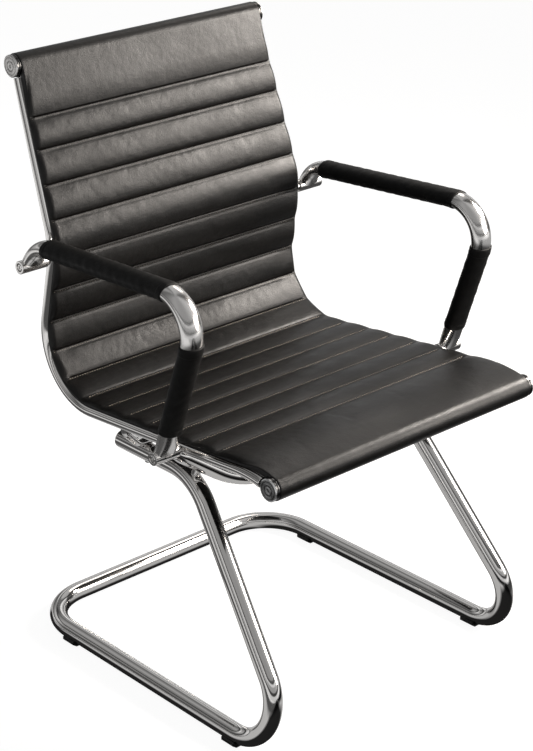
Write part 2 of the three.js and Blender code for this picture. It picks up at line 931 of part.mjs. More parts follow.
// Floor glides: saddles clipped on the underside of the runners
function glide(side, y) {
  const inner = sled_radius + seat_gap;
  const outer = inner + glide_wall;
  const wrap = rad(glide_wrap_angle);
  const down = -upright;
  const foot = -(sled_radius + glide_thickness);
  const shape = new THREE.Shape();
  shape.moveTo(outer * Math.cos(down + wrap), outer * Math.sin(down + wrap));
  shape.lineTo(inner * Math.cos(down + wrap), inner * Math.sin(down + wrap));
  shape.absarc(0, 0, inner, down + wrap, down - wrap, true);
  shape.lineTo(outer * Math.cos(down - wrap), outer * Math.sin(down - wrap));
  shape.lineTo(-outer * Math.sin(wrap), foot + glide_thickness + glide_wall);
  shape.lineTo(-glide_pad_half, foot);
  shape.lineTo(glide_pad_half, foot);
  shape.lineTo(outer * Math.sin(wrap), foot + glide_thickness + glide_wall);
  shape.closePath();
  const body = new THREE.ExtrudeGeometry(shape, {
    depth: glide_length,
    bevelEnabled: false,
    curveSegments: round_sides / 2,
  });
  const runner_share = (y - sled_front_y) / (sled_rear_y - sled_front_y);
  const half = THREE.MathUtils.lerp(sled_front_half, sled_rear_half, runner_share);
  const turn = Math.atan2(sled_front_half - sled_rear_half, sled_rear_y - sled_front_y);
  body.translate(0, 0, -glide_length / 2);
  body.rotateX(Math.PI / 2);
  body.rotateZ(side * turn);
  body.translate(side * half, y, sled_floor_z);
  return toSolid(body);
}

// Assembly
const chair = new THREE.Group();

function place(name, solid, material) {
  const mesh = new THREE.Mesh(toGeometry(solid), material);
  mesh.name = name;
  chair.add(mesh);
}

place("sling_pad", slingPad(), leather());
place("front_cross_tube", crossTube(front_axis, front_roll_half), chrome());
place("top_cross_tube", crossTube(top_axis, top_roll_half), chrome());
place("front_seat_stretcher", stretcher(front_stretcher), chrome());
place("rear_seat_stretcher", stretcher(rear_stretcher), chrome());
place("back_stretcher", stretcher(back_stretcher), chrome());
place("sled_tube", sledTube(), chrome());

[
  [-1, "right"],
  [1, "left"],
].forEach(([side, hand]) => {
  place(`${hand}_side_rail`, sideRail(side), chrome());
  place(`${hand}_top_cap`, endCap(side, top_axis, cap_top_face), chrome());
  place(`${hand}_front_cap`, endCap(side, front_axis, cap_front_face), chrome());
  place(`${hand}_arm_frame`, armFrame(side), chrome());
  place(`${hand}_arm_top_sleeve`, topSleeve(side), sleeveLeather());
  place(`${hand}_arm_front_sleeve`, frontSleeve(side), sleeveLeather());
  place(
    `${hand}_front_arm_washer`,
    armWasher(side, seat_tee_place, tee_front_y, tee_front_z),
    chrome(),
  );
  place(
    `${hand}_rear_arm_washer`,
    armWasher(side, back_tee_place, tee_rear_y, tee_rear_z),
    chrome(),
  );
  place(
    `${hand}_front_arm_bolt`,
    armBolt(side, tee_front_face, tee_front_y, tee_front_z),
    chrome(),
  );
  place(
    `${hand}_rear_arm_bolt`,
    armBolt(side, tee_rear_face, tee_rear_y, tee_rear_z),
    chrome(),
  );
  place(`${hand}_sled_plug`, sledPlug(side), chrome());
  place(`${hand}_sled_post`, mountPost(frontMount(side)), chrome());
  place(`${hand}_front_sled_bolt`, mountBolt(frontMount(side)), chrome());
  place(`${hand}_rear_sled_bolt`, mountBolt(rearMount(side)), chrome());
  place(`${hand}_front_glide`, glide(side, front_glide_y), blackPlastic());
  place(`${hand}_rear_glide`, glide(side, rear_glide_y), blackPlastic());
});

// The frame's origin is on the floor, under the middle of the chair's box
const box = new THREE.Box3().setFromObject(chair, true);
chair.children.forEach((mesh) => {
  mesh.position.set(0, -(box.min.y + box.max.y) / 2, -box.min.z);
});

export default chair;
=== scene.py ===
# %% [markdown]
# A visitor chair on a sled base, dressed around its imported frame. The frame holds every solid
# at its real size: the rails, the arms, the sled and a plain body for the leather sling. This
# lesson replaces the faceted tubes with smooth ones along the same routes, sews the sling, and
# gives every surface its finish. Shapes are drawn in millimetres, as on a maker's drawing, and
# become metres only when a mesh is made.

# %% Loading the frame
import bpy
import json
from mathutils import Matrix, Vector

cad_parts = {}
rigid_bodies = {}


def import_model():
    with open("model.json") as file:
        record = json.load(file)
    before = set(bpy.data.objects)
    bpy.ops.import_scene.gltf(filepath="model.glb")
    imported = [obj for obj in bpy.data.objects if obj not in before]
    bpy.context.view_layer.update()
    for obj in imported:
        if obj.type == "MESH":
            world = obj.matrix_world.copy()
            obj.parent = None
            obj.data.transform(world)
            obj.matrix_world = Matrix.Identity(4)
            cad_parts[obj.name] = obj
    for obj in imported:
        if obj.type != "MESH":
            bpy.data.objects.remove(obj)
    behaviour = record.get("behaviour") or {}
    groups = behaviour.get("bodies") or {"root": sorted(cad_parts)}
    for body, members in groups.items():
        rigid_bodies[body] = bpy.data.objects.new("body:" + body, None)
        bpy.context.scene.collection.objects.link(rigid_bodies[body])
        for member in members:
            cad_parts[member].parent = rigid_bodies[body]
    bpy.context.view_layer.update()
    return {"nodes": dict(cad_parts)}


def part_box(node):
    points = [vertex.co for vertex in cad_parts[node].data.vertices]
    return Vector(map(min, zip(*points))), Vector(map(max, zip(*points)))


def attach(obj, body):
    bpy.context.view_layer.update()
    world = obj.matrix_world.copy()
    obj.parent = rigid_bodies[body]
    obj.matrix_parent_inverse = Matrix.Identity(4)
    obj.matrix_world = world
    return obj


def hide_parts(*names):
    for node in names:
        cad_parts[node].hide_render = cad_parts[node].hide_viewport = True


for leftover in list(bpy.data.objects):
    bpy.data.objects.remove(leftover)
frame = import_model()

import json
from math import atan2, cos, hypot, pi, radians, sin, sqrt, tan

import bmesh
import numpy as np
from mathutils import Euler, Vector
from mathutils.geometry import delaunay_2d_cdt

MM = 0.001
scene = bpy.context.scene

# %% [markdown]
# The camera stands where the photographer stood: in front of the chair's right side, above the
# seat, looking down. The photo is 533 by 751 pixels and its lens spans 2100 pixels, which a
# sensor measured along the long side turns into a focal length.

# %% Camera
photo_long_side = 751
lens_pixels = 2100
sensor_side = 36
camera_place = (-1.9234, -2.1095, 1.6860)
camera_yaw = 42.35
camera_pitch = 23.74

camera_data = bpy.data.cameras.new("photo_camera")
camera_data.sensor_width = sensor_side
camera_data.lens = lens_pixels / photo_long_side * sensor_side
camera = bpy.data.objects.new("photo_camera", camera_data)
camera.location = camera_place
camera.rotation_euler = Euler((radians(90 - camera_pitch), 0, radians(-camera_yaw)))
scene.collection.objects.link(camera)
scene.camera = camera
print("camera: lens", round(camera_data.lens, 2), "mm")

# %% [markdown]
# Materials and light are node trees. One helper adds a node, sets its options and fills its
# inputs, each with a value or with the output of another node, so a tree reads as a list. Three
# more give the sums that come up again and again.

# %% Helpers for node trees
def add_node(tree, kind, inputs=None, **options):
    made = tree.nodes.new(kind)
    for name, value in options.items():
        setattr(made, name, value)
    for name, value in (inputs or {}).items():
        socket = made.inputs[name]
        if isinstance(value, bpy.types.NodeSocket):
            tree.links.new(value, socket)
        else:
            socket.default_value = value
    return made


def maths(tree, operation, *values):
    return add_node(tree, "ShaderNodeMath", dict(enumerate(values)), operation=operation).outputs[0]


def remapped(tree, value, start, end, to_start, to_end):
    inputs = {"Value": value, "From Min": start, "From Max": end, "To Min": to_start, "To Max": to_end}
    return add_node(tree, "ShaderNodeMapRange", inputs).outputs["Result"]


def scaled(tree, colour, factor):
    inputs = {0: colour, "Scale": factor}
    return add_node(tree, "ShaderNodeVectorMath", inputs, operation="SCALE").outputs[0]

# %% [markdown]
# Chrome shows what stands around it, so the studio matters as much as the metal. The walls are
# white wherever the camera or a reflection looks, and dimmer as a source of light, so that the
# leather keeps its black. The floor is pale and keeps the chair's shadow.

# %% World
fill_level = 0.14
wall_colour = (1.0, 1.0, 1.0, 1.0)

world = bpy.data.worlds.new("white_studio")
scene.world = world
world.use_nodes = True
tree = world.node_tree
tree.nodes.clear()
path = add_node(tree, "ShaderNodeLightPath").outputs
level = maths(tree, "MAXIMUM", path["Is Camera Ray"], path["Is Glossy Ray"])
level = maths(tree, "MAXIMUM", level, path["Is Transmission Ray"])
level = maths(tree, "MAXIMUM", level, fill_level)
wall = add_node(tree, "ShaderNodeBackground", {"Color": wall_colour, "Strength": level})
add_node(tree, "ShaderNodeOutputWorld", {"Surface": wall.outputs[0]})
scene.view_settings.view_transform = "Standard"

# %% Floor
floor_half = 30
floor_share = 0.72
floor_glow = 1.3
floor_colour = (0.9, 0.9, 0.9, 1.0)
square_faces = [(0, 1, 2, 3)]


def new_stage(name, points, faces):
    mesh = bpy.data.meshes.new(name)
    mesh.from_pydata(points, [], faces)
    made = bpy.data.objects.new(name, mesh)
    scene.collection.objects.link(made)
    paint = bpy.data.materials.new(f"{name}_paint")
    paint.use_nodes = True
    paint.node_tree.nodes.clear()
    mesh.materials.append(paint)
    return made, paint.node_tree


def flat_square(half, level):
    return [(-half, -half, level), (half, -half, level), (half, half, level), (-half, half, level)]


def show(tree, shader):
    add_node(tree, "ShaderNodeOutputMaterial", {"Surface": shader.outputs[0]})


_, tree = new_stage("floor", flat_square(floor_half, 0), square_faces)
looked = add_node(tree, "ShaderNodeLightPath").outputs["Is Camera Ray"]
share = maths(tree, "MULTIPLY", looked, floor_share)
paint = add_node(tree, "ShaderNodeBsdfDiffuse", {"Color": floor_colour})
glow = add_node(tree, "ShaderNodeEmission", {"Color": wall_colour, "Strength": floor_glow})
show(tree, add_node(tree, "ShaderNodeMixShader", {0: share, 1: paint.outputs[0], 2: glow.outputs[0]}))
print("floor:", 2 * floor_half, "m wide")

# %% [markdown]
# Photographers stand cards round chrome to draw lines into it. These cards glow and light
# nothing: they are seen only in reflections, as painted reflections. A card lies on the floor, in
# grey, dark and white rings, and dimmer towards the chair's front left. Dark strips on it, under
# the runners and across the rear, are painted shadow of the tubes, seen along their lower edges.
# A ring of banded card stands four metres away, with a grey card for its ceiling. A ramp of
# greys, from stops of place and level, paints each one.

# %% Cards: greys and visibility
def banded(tree, value, stops):
    ramp = add_node(tree, "ShaderNodeValToRGB", {"Fac": value})
    points = ramp.color_ramp.elements
    while len(points) < len(stops):
        points.new(1.0)
    for point, (place, level) in zip(points, stops):
        point.position = place
        point.color = (level, level, level, 1.0)
    return ramp.outputs["Color"]


def only_reflected(made):
    made.visible_camera = False
    made.visible_diffuse = False
    made.visible_transmission = False
    made.visible_shadow = False


# %% Floor card
card_half = 5
card_level = 0.0004
card_glow = ((0.0, 0.5), (0.1, 0.62), (0.13, 0.1), (0.3, 0.1), (0.38, 0.9), (1.0, 1.0))
runner_x = 0.249
rear_y = 0.26
strip_shift = 0.015
strip_half = 0.03
strip_half_ahead = 0.16
strip_ahead = (-0.22, -0.34)
strip_fade = (0.8, 1.5)
runner_shadow_glow = 0.03
rear_narrowing = 1.6
dim_side = (0.5, 1.4)
dim_side_glow = 0.5

# The floor card glows only into reflections: a painted reflection of the floor.
card, tree = new_stage("floor_card", flat_square(card_half, card_level), square_faces)
place = add_node(tree, "ShaderNodeTexCoord").outputs["Object"]
x, y, _ = add_node(tree, "ShaderNodeSeparateXYZ", {0: place}).outputs
reach = add_node(tree, "ShaderNodeVectorMath", {0: place}, operation="LENGTH").outputs["Value"]
bright = banded(tree, maths(tree, "DIVIDE", reach, float(card_half)), card_glow)
# Painted shadow: a dark strip on the card beside each runner and along the rear tube, seen only in
# reflections.
beside = maths(tree, "ABSOLUTE", maths(tree, "ADD", x, strip_shift))
beside = maths(tree, "ABSOLUTE", maths(tree, "SUBTRACT", beside, runner_x))
behind = maths(tree, "ABSOLUTE", maths(tree, "SUBTRACT", y, rear_y))
near = maths(tree, "MINIMUM", beside, maths(tree, "MULTIPLY", behind, rear_narrowing))
half = remapped(tree, y, *strip_ahead, strip_half, strip_half_ahead)
runner_shadow = remapped(tree, maths(tree, "DIVIDE", near, half), *strip_fade, runner_shadow_glow, 1.0)
dim = remapped(tree, maths(tree, "SUBTRACT", x, y), *dim_side, 1.0, dim_side_glow)
show(tree, add_node(tree, "ShaderNodeEmission", {"Color": scaled(tree, bright, runner_shadow), "Strength": dim}))
only_reflected(card)

# %% Ring of cards
ring_radius = 4
ring_foot = 0.01
ring_height = 5
ring_sides = 64
band_glow = (
    (0.0, 0.9), (0.09, 0.9), (0.11, 0.06), (0.17, 0.06), (0.19, 0.5), (0.31, 0.5),
    (0.33, 1.0), (0.39, 1.0), (0.41, 0.12), (0.5, 0.12), (0.53, 0.45), (1.0, 0.45),
)
panel_glow = (
    (0.0, 0.9), (0.06, 0.9), (0.08, 0.8), (0.22, 0.8), (0.26, 0.9), (0.36, 1.3), (0.44, 1.2),
    (0.46, 0.15), (0.52, 0.15), (0.54, 1.0), (0.66, 1.3), (0.7, 0.3), (0.8, 1.0),
    (0.88, 0.25), (1.0, 0.9),
)

angles = np.linspace(0, 2 * pi, ring_sides, endpoint=False)
rim = [(ring_radius * cos(a), ring_radius * sin(a)) for a in angles]
ring_points = [(x, y, z) for z in (ring_foot, ring_height) for x, y in rim]
pairs = [(i, (i + 1) % ring_sides) for i in range(ring_sides)]
ring_faces = [(i, k, ring_sides + k, ring_sides + i) for i, k in pairs]
ring_faces.append(list(range(ring_sides, 2 * ring_sides)))
# The ring glows only into reflections: painted reflections of a studio's walls and lights.
ring, tree = new_stage("card_ring", ring_points, ring_faces)
place = add_node(tree, "ShaderNodeTexCoord").outputs["Object"]
x, y, z = add_node(tree, "ShaderNodeSeparateXYZ", {0: place}).outputs
turn = remapped(tree, maths(tree, "ARCTAN2", y, x), -pi, pi, 0.0, 1.0)
bands = banded(tree, maths(tree, "DIVIDE", z, float(ring_height)), band_glow)
panels = banded(tree, turn, panel_glow)
level = add_node(tree, "ShaderNodeVectorMath", {0: bands, 1: panels}, operation="MULTIPLY")
show(tree, add_node(tree, "ShaderNodeEmission", {"Color": level.outputs[0]}))
only_reflected(ring)
print("cards:", len(band_glow), "stops up the ring and", len(panel_glow), "round it")

# %% [markdown]
# Three soft lamps light the leather from the chair's left. The side lamp draws the ribs of the
# back, the front lamp the bend and the front roll, and a weak one behind the chair keeps the
# seat from going flat.

# %% Lamps
aim = Vector((0, 0, 0.6))
lamp_colour = (1.0, 0.93, 0.86)


def soft_lamp(name, place, side, power):
    data = bpy.data.lights.new(name, "AREA")
    data.shape = "SQUARE"
    data.size = side
    data.energy = power
    data.color = lamp_colour
    lamp = bpy.data.objects.new(name, data)
    lamp.location = place
    lamp.rotation_euler = (aim - lamp.location).to_track_quat("-Z", "Y").to_euler()
    scene.collection.objects.link(lamp)


soft_lamp("side_lamp", (1.35, -0.45, 1.35), 0.55, 46)
soft_lamp("front_lamp", (1.8, -1.9, 1.25), 1.1, 42)
soft_lamp("rear_lamp", (1.3, 0.75, 1.9), 0.6, 3)

# %% [markdown]
# Two effects are shared by several finishes, so each is a node group. The first is a leather
# grain: small rounded cells with a little noise, and slow creases, both as heights. The second
# is the uneven sheen that hands and cloths leave, as a slow pattern between two levels.

# %% Shader group: leather grain
cell_warp = 0.0012


def new_group(name, levels, outputs):
    group = bpy.data.node_groups.new(name, "ShaderNodeTree")
    group.interface.new_socket("Place", in_out="INPUT", socket_type="NodeSocketVector")
    for label, value in levels.items():
        socket = group.interface.new_socket(label, in_out="INPUT", socket_type="NodeSocketFloat")
        socket.default_value = value
    for label in outputs:
        group.interface.new_socket(label, in_out="OUTPUT", socket_type="NodeSocketFloat")
    return group, group.nodes.new("NodeGroupInput").outputs, group.nodes.new("NodeGroupOutput").inputs


grain_levels = {"Cells per metre": 900.0, "Creases per metre": 45.0}
grain_group, taken, given = new_group("leather_grain", grain_levels, ["Grain", "Creases"])
place = taken["Place"]
warp = add_node(grain_group, "ShaderNodeTexNoise", {"Vector": place, "Scale": 260.0, "Detail": 2.0})
shift = scaled(grain_group, warp.outputs["Color"], cell_warp)
moved = add_node(grain_group, "ShaderNodeVectorMath", {0: place, 1: shift}, operation="ADD").outputs[0]
sizes = {"Vector": moved, "Scale": taken["Cells per metre"], "Smoothness": 0.4}
cells = add_node(grain_group, "ShaderNodeTexVoronoi", sizes, feature="SMOOTH_F1")
domes = maths(grain_group, "SUBTRACT", 1.0, cells.outputs["Distance"])
grain_group.links.new(domes, given["Grain"])
sizes = {"Vector": place, "Scale": taken["Creases per metre"], "Detail": 5.0, "Roughness": 0.6}
folds = add_node(grain_group, "ShaderNodeTexNoise", sizes)
grain_group.links.new(folds.outputs["Fac"], given["Creases"])

# %% Shader group: uneven sheen
sheen_levels = {"Patches per metre": 12.0, "Low": 0.0, "High": 1.0}
sheen_group, taken, given = new_group("uneven_sheen", sheen_levels, ["Value"])
sizes = {"Vector": taken["Place"], "Scale": taken["Patches per metre"], "Detail": 4.0, "Roughness": 0.55}
patches = add_node(sheen_group, "ShaderNodeTexNoise", sizes)
spread = remapped(sheen_group, patches.outputs["Fac"], 0.3, 0.7, taken["Low"], taken["High"])
sheen_group.links.new(spread, given["Value"])
print("groups:", grain_group.name, sheen_group.name)

# %% [markdown]
# Every finish starts from the same three nodes: the place on the piece, a Principled shader and
# the output. A finish then adds its own colour, roughness and bump. Numbers that are the same
# all over a surface are set on the shader itself.

# %% Finishes: the common start
def new_finish(name, **levels):
    finish = bpy.data.materials.new(name)
    finish.use_nodes = True
    tree = finish.node_tree
    tree.nodes.clear()
    where = add_node(tree, "ShaderNodeTexCoord").outputs["Object"]
    shader = add_node(tree, "ShaderNodeBsdfPrincipled")
    show(tree, shader)
    for label, value in levels.items():
        shader.inputs[label.replace("_", " ")].default_value = value
    return finish, tree, where, shader


def place_group(tree, group, **inputs):
    inputs = {label.replace("_", " "): value for label, value in inputs.items()}
    return add_node(tree, "ShaderNodeGroup", inputs, node_tree=group).outputs


def stored(tree, name):
    return add_node(tree, "ShaderNodeAttribute", attribute_name=name).outputs["Fac"]


def blended(tree, factor, first, second):
    inputs = {"Factor": factor, "A": first, "B": second}
    return add_node(tree, "ShaderNodeMix", inputs, data_type="RGBA").outputs["Result"]


# %% Finishes: colour, roughness and bump
def link_roughness(tree, where, shader, patches, low, high):
    sheen = place_group(tree, sheen_group, Place=where, Patches_per_metre=patches, Low=low, High=high)
    tree.links.new(sheen["Value"], shader.inputs["Roughness"])


def link_bump(tree, shader, height, distance, under=None):
    inputs = {"Height": height, "Distance": distance}
    if under is not None:
        inputs["Normal"] = under
    bump = add_node(tree, "ShaderNodeBump", inputs)
    tree.links.new(bump.outputs["Normal"], shader.inputs["Normal"])
    return bump.outputs["Normal"]


def mottled(tree, where, patches, dark, light):
    tone = place_group(tree, sheen_group, Place=where, Patches_per_metre=patches)
    return blended(tree, tone["Value"], (*dark, 1.0), (*light, 1.0))


def link_leather(tree, where, shader, cells, creases, crease_height, cell_height):
    heights = place_group(
        tree, grain_group, Place=where, Cells_per_metre=cells, Creases_per_metre=creases
    )
    folds = link_bump(tree, shader, heights["Creases"], crease_height)
    link_bump(tree, shader, heights["Grain"], cell_height, folds)


# %% Finish: bright chrome
chrome_colour = (0.72, 0.705, 0.69, 1.0)


def chrome_finish(name, low, high):
    finish, tree, where, shader = new_finish(name, Base_Color=chrome_colour, Metallic=1.0)
    link_roughness(tree, where, shader, 9.0, low, high)
    ripple = add_node(tree, "ShaderNodeTexNoise", {"Vector": where, "Scale": 14.0, "Detail": 1.0})
    link_bump(tree, shader, ripple.outputs["Fac"], 0.0004)
    return finish


bright_chrome = chrome_finish("bright_chrome", 0.06, 0.11)
arm_chrome = chrome_finish("arm_chrome", 0.15, 0.22)

# %% [markdown]
# The caps are turned zinc with a satin plating. Their meshes store, at each point, how far it
# lies from the turning axis and how far behind the face. The finish reads the first for grey
# rings and fine turning lines, and the second for painted shade on the side, beside the leather.
# The top caps are painted paler, as painted light on their faces.

# %% Finish: satin caps
cap_rings = (
    (0.0, 0.12), (0.13, 0.12), (0.15, 0.4), (0.35, 0.4), (0.37, 0.08), (0.48, 0.08),
    (0.5, 0.26), (0.7, 0.26), (0.72, 0.08), (0.79, 0.08), (0.81, 0.28), (0.9, 0.28),
    (0.92, 0.75), (1.0, 0.75),
)
cap_rim = 0.0165
cap_painted_shade_depths = (0.0012, 0.0022)
cap_side_painted_shade = 0.12
painted_light_satin = (0.66, 0.64, 0.62, 1.0)
turning_lines = 14000.0


def satin_finish():
    finish, tree, where, shader = new_finish("satin_cap", Metallic=1.0)
    link_roughness(tree, where, shader, 60.0, 0.16, 0.28)
    turn = stored(tree, "turn_radius")
    rings = banded(tree, maths(tree, "DIVIDE", turn, cap_rim), cap_rings)
    # Painted light: the top caps' faces are made paler than the front caps'.
    rings = blended(tree, stored(tree, "turn_painted_light"), rings, painted_light_satin)
    # Painted shade: the side behind the face is darkened, where the leather roll shades it.
    side = remapped(tree, stored(tree, "turn_depth"), *cap_painted_shade_depths, 1.0, cap_side_painted_shade)
    tree.links.new(scaled(tree, rings, side), shader.inputs["Base Color"])
    lines = maths(tree, "SINE", maths(tree, "MULTIPLY", turn, turning_lines))
    link_bump(tree, shader, lines, 0.00002)
    return finish


satin_cap = satin_finish()

# %% [markdown]
# The sling's leather is nearly black, and its look comes from the sheen. Down in a seam no
# light gets out, so the gloss is taken away there as painted shade, by a share that the sling's
# mesh stores. The thread is beige, and on the back it is painted nearly as dark as the leather,
# as painted shade under the creases.

# %% Finishes: leather, thread and plastic
thread_painted_shade_heights = (0.44, 0.5)
thread_back_painted_shade = 0.14


def sling_finish():
    finish, tree, where, shader = new_finish("sling_leather")
    # Painted shade in the seams: the gloss is turned down where the stored seam shade is high.
    gloss = remapped(tree, stored(tree, "seam_painted_shade"), 0.0, 1.0, 0.34, 0.0)
    tree.links.new(gloss, shader.inputs["Specular IOR Level"])
    colour = mottled(tree, where, 7.0, (0.0026, 0.0023, 0.0021), (0.0052, 0.0045, 0.004))
    tree.links.new(colour, shader.inputs["Base Color"])
    link_roughness(tree, where, shader, 16.0, 0.34, 0.46)
    link_leather(tree, where, shader, 780.0, 38.0, 0.0009, 0.00012)
    return finish


def thread_finish():
    finish, tree, where, shader = new_finish("sewing_thread", Roughness=0.62)
    colour = mottled(tree, where, 180.0, (0.3, 0.26, 0.2), (0.6, 0.52, 0.42))
    # Painted shade: above the seat the thread is darkened, as the back's stitches sit under the creases.
    height = add_node(tree, "ShaderNodeSeparateXYZ", {0: where}).outputs["Z"]
    shade = remapped(tree, height, *thread_painted_shade_heights, 1.0, thread_back_painted_shade)
    tree.links.new(scaled(tree, colour, shade), shader.inputs["Base Color"])
    return finish


def sleeve_finish():
    finish, tree, where, shader = new_finish("sleeve_leather", Specular_IOR_Level=0.2)
    colour = mottled(tree, where, 25.0, (0.0022, 0.0021, 0.002), (0.0045, 0.0043, 0.004))
    tree.links.new(colour, shader.inputs["Base Color"])
    link_roughness(tree, where, shader, 30.0, 0.5, 0.66)
    link_leather(tree, where, shader, 950.0, 70.0, 0.0008, 0.0001)
    return finish


def plastic_finish():
    finish, tree, where, shader = new_finish("glide_plastic", Base_Color=(0.012, 0.012, 0.012, 1.0))
    link_roughness(tree, where, shader, 40.0, 0.42, 0.6)
    pores = add_node(tree, "ShaderNodeTexNoise", {"Vector": where, "Scale": 1600.0, "Detail": 2.0})
    link_bump(tree, shader, pores.outputs["Fac"], 0.00008)
    return finish


sling_leather = sling_finish()
sewing_thread = thread_finish()
sleeve_leather = sleeve_finish()
glide_plastic = plastic_finish()
print("finishes:", sum(m.use_nodes for m in bpy.data.materials))

# %% [markdown]
# Tubes, bars and sleeves are lofts: rings of points joined one to the next. A path gives the
# centre and direction of each ring. Straight runs through the corners of a route, with each
# corner rounded by its own bend radius, give the same bends as a tube bender does.

# %% Drawing helpers: vectors and paths
bend_step = radians(3)


def vec(*parts):
    return np.array(parts, float)


def unit(v):
    return v / np.linalg.norm(v)


def bent_path(corners, radii):
    points, ways = [corners[0]], [unit(corners[1] - corners[0])]
    for before, corner, after, radius in zip(corners, corners[1:], corners[2:], radii):
        inward, outward = unit(corner - before), unit(after - corner)
        turn = np.arccos(np.clip(inward @ outward, -1, 1))
        side = unit(outward - inward * (outward @ inward))
        centre = corner - inward * radius * tan(turn / 2) + side * radius
        for angle in np.linspace(0, turn, max(int(np.ceil(turn / bend_step)), 1) + 1):
            points.append(centre - side * radius * cos(angle) + inward * radius * sin(angle))
            ways.append(inward * cos(angle) + side * sin(angle))
    points.append(corners[-1])
    ways.append(unit(corners[-1] - corners[-2]))
    return np.array(points), np.array(ways)


def cross_ring(point, across, up, half_width, half_thick, sides):
    angle = np.linspace(0, 2 * pi, sides, endpoint=False)[:, None]
    return point + across * half_width * np.cos(angle) + up * half_thick * np.sin(angle)


def loft(rings, closed_round=False):
    rings = np.asarray(rings)
    count, sides, _ = rings.shape
    index = np.arange(count * sides).reshape(count, sides)
    low = index if closed_round else index[:-1]
    high = np.roll(index, -1, 0) if closed_round else index[1:]
    quads = np.stack([low, np.roll(low, -1, 1), np.roll(high, -1, 1), high], -1).reshape(-1, 4)
    faces = quads.tolist()
    if not closed_round:
        faces += [index[0][::-1].tolist(), index[-1].tolist()]
    return rings.reshape(-1, 3), faces


# %% Drawing helpers: round tubes and turned pieces
end_bevel = 0.6
tube_aside = (0.31, 0.2, 1)
turned_aside = (0.1, 0.2, 1)
axis_girth = 1e-4


def carried_rings(points, ways, radius, sides, bevel=0.0):
    across = unit(np.cross(ways[0], vec(*tube_aside)))
    rings = []
    last = len(points) - 1
    for number, (point, way) in enumerate(zip(points, ways)):
        across = unit(across - way * (across @ way))
        up = np.cross(way, across)
        inner = radius - bevel
        if number == 0 and bevel:
            rings.append(cross_ring(point, across, up, inner, inner, sides))
            point = point + way * bevel
        if number == last and bevel:
            point = point - way * bevel
        rings.append(cross_ring(point, across, up, radius, radius, sides))
        if number == last and bevel:
            rings.append(cross_ring(point + way * bevel, across, up, inner, inner, sides))
    return rings


def turned(outline, origin, way, sides=72):
    origin, way = np.asarray(origin, float), unit(np.asarray(way, float))
    across = unit(np.cross(way, vec(*turned_aside)))
    up = np.cross(way, across)
    rings = []
    for along, radius in outline:
        girth = max(radius, axis_girth)
        rings.append(cross_ring(origin + way * along, across, up, girth, girth, sides))
    return loft(rings)


def rounded(outline, radius, steps=4, most=0.45):
    outline = [vec(*p) for p in outline]
    soft = [outline[0]]
    for before, corner, after in zip(outline, outline[1:], outline[2:]):
        inward, outward = unit(corner - before), unit(after - corner)
        room_before, room_after = np.linalg.norm(corner - before), np.linalg.norm(after - corner)
        reach = min(radius, room_before * most, room_after * most)
        start, end = corner - inward * reach, corner + outward * reach
        for share in np.linspace(0, 1, steps + 1):
            soft.append((1 - share) ** 2 * start + 2 * share * (1 - share) * corner + share**2 * end)
    return soft + [outline[-1]]


# %% [markdown]
# A drawn shape becomes a piece in one place. Doubled points are merged, faces are turned
# outwards, and edges sharper than the crease angle stay crisp while the rest is smooth. The
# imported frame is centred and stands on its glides, so one shift takes the drawing to it: the
# front cross tube shows how far.

# %% From drawing to piece
drawn_front_y = -213
drawn_front_z = 434
body_name = "root"
merge_room = 2e-6


def middle(node):
    low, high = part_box(node)
    return (low + high) / 2


front_tube = middle("front_cross_tube") / MM
frame_shift = vec(0, front_tube.y - drawn_front_y, front_tube.z - drawn_front_z)
print("frame shift:", frame_shift.round(3), "mm")


def to_frame(points):
    return (np.asarray(points) + frame_shift) * MM


def mirrored(shape):
    points, faces = shape
    return points * vec(-1, 1, 1), [face[::-1] for face in faces]


def joined(*shapes):
    points, faces, start = [], [], 0
    for shape_points, shape_faces in shapes:
        points.append(shape_points)
        faces += [[corner + start for corner in face] for face in shape_faces]
        start += len(shape_points)
    return np.concatenate(points), faces


def make_mesh(name, shape, crease=38):
    points, faces = shape
    mesh = bpy.data.meshes.new(name)
    mesh.from_pydata(to_frame(points).tolist(), [], faces)
    skin = bmesh.new()
    skin.from_mesh(mesh)
    bmesh.ops.remove_doubles(skin, verts=skin.verts, dist=merge_room)
    bmesh.ops.recalc_face_normals(skin, faces=skin.faces)
    skin.to_mesh(mesh)
    skin.free()
    mesh.shade_smooth()
    mesh.set_sharp_from_angle(angle=radians(crease))
    return mesh


def store_values(mesh, name, values):
    layer = mesh.attributes.new(name, "FLOAT", "POINT")
    layer.data.foreach_set("value", values)


def add_piece(name, mesh, finish, slot, *stands_for):
    made = bpy.data.objects.new(name, mesh)
    scene.collection.objects.link(made)
    if finish is not None:
        mesh.materials.append(finish)
    if stands_for:
        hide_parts(*stands_for)
    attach(made, body_name)
    return made


def both_hands(kind, drawn, finish, slot, after=None):
    for hand, shape in (("left", drawn), ("right", mirrored(drawn))):
        node = f"{hand}_{kind}"
        mesh = make_mesh(f"{node}_skin", shape)
        if after:
            after(mesh)
        add_piece(f"{node}_skin", mesh, finish, slot, node)
    print(kind, "x2:", len(mesh.polygons), "faces each")


# %% [markdown]
# The side rails set everything else out. Seen from the side, a rail rises from the front cross
# tube, slopes down to the bend, and leans back to the top tube: arcs and straights, laid end to
# end. A place on it is one number, the length from the front tube, and its half width draws in
# towards the top.

# %% The rail's profile
front_rise_angle = 15
front_arch_radius = 201
seat_slope_angle = 5
seat_straight = 324
seat_bend_radius = 99
lower_back_angle = 9.6
lower_back_straight = 81
lumbar_radius = 128
back_lean_angle = 18.85
upper_back_straight = 232.5
rail_radius = 8
rail_front_half = 250
rail_top_draw = 25.5
rail_draw_power = 1.7


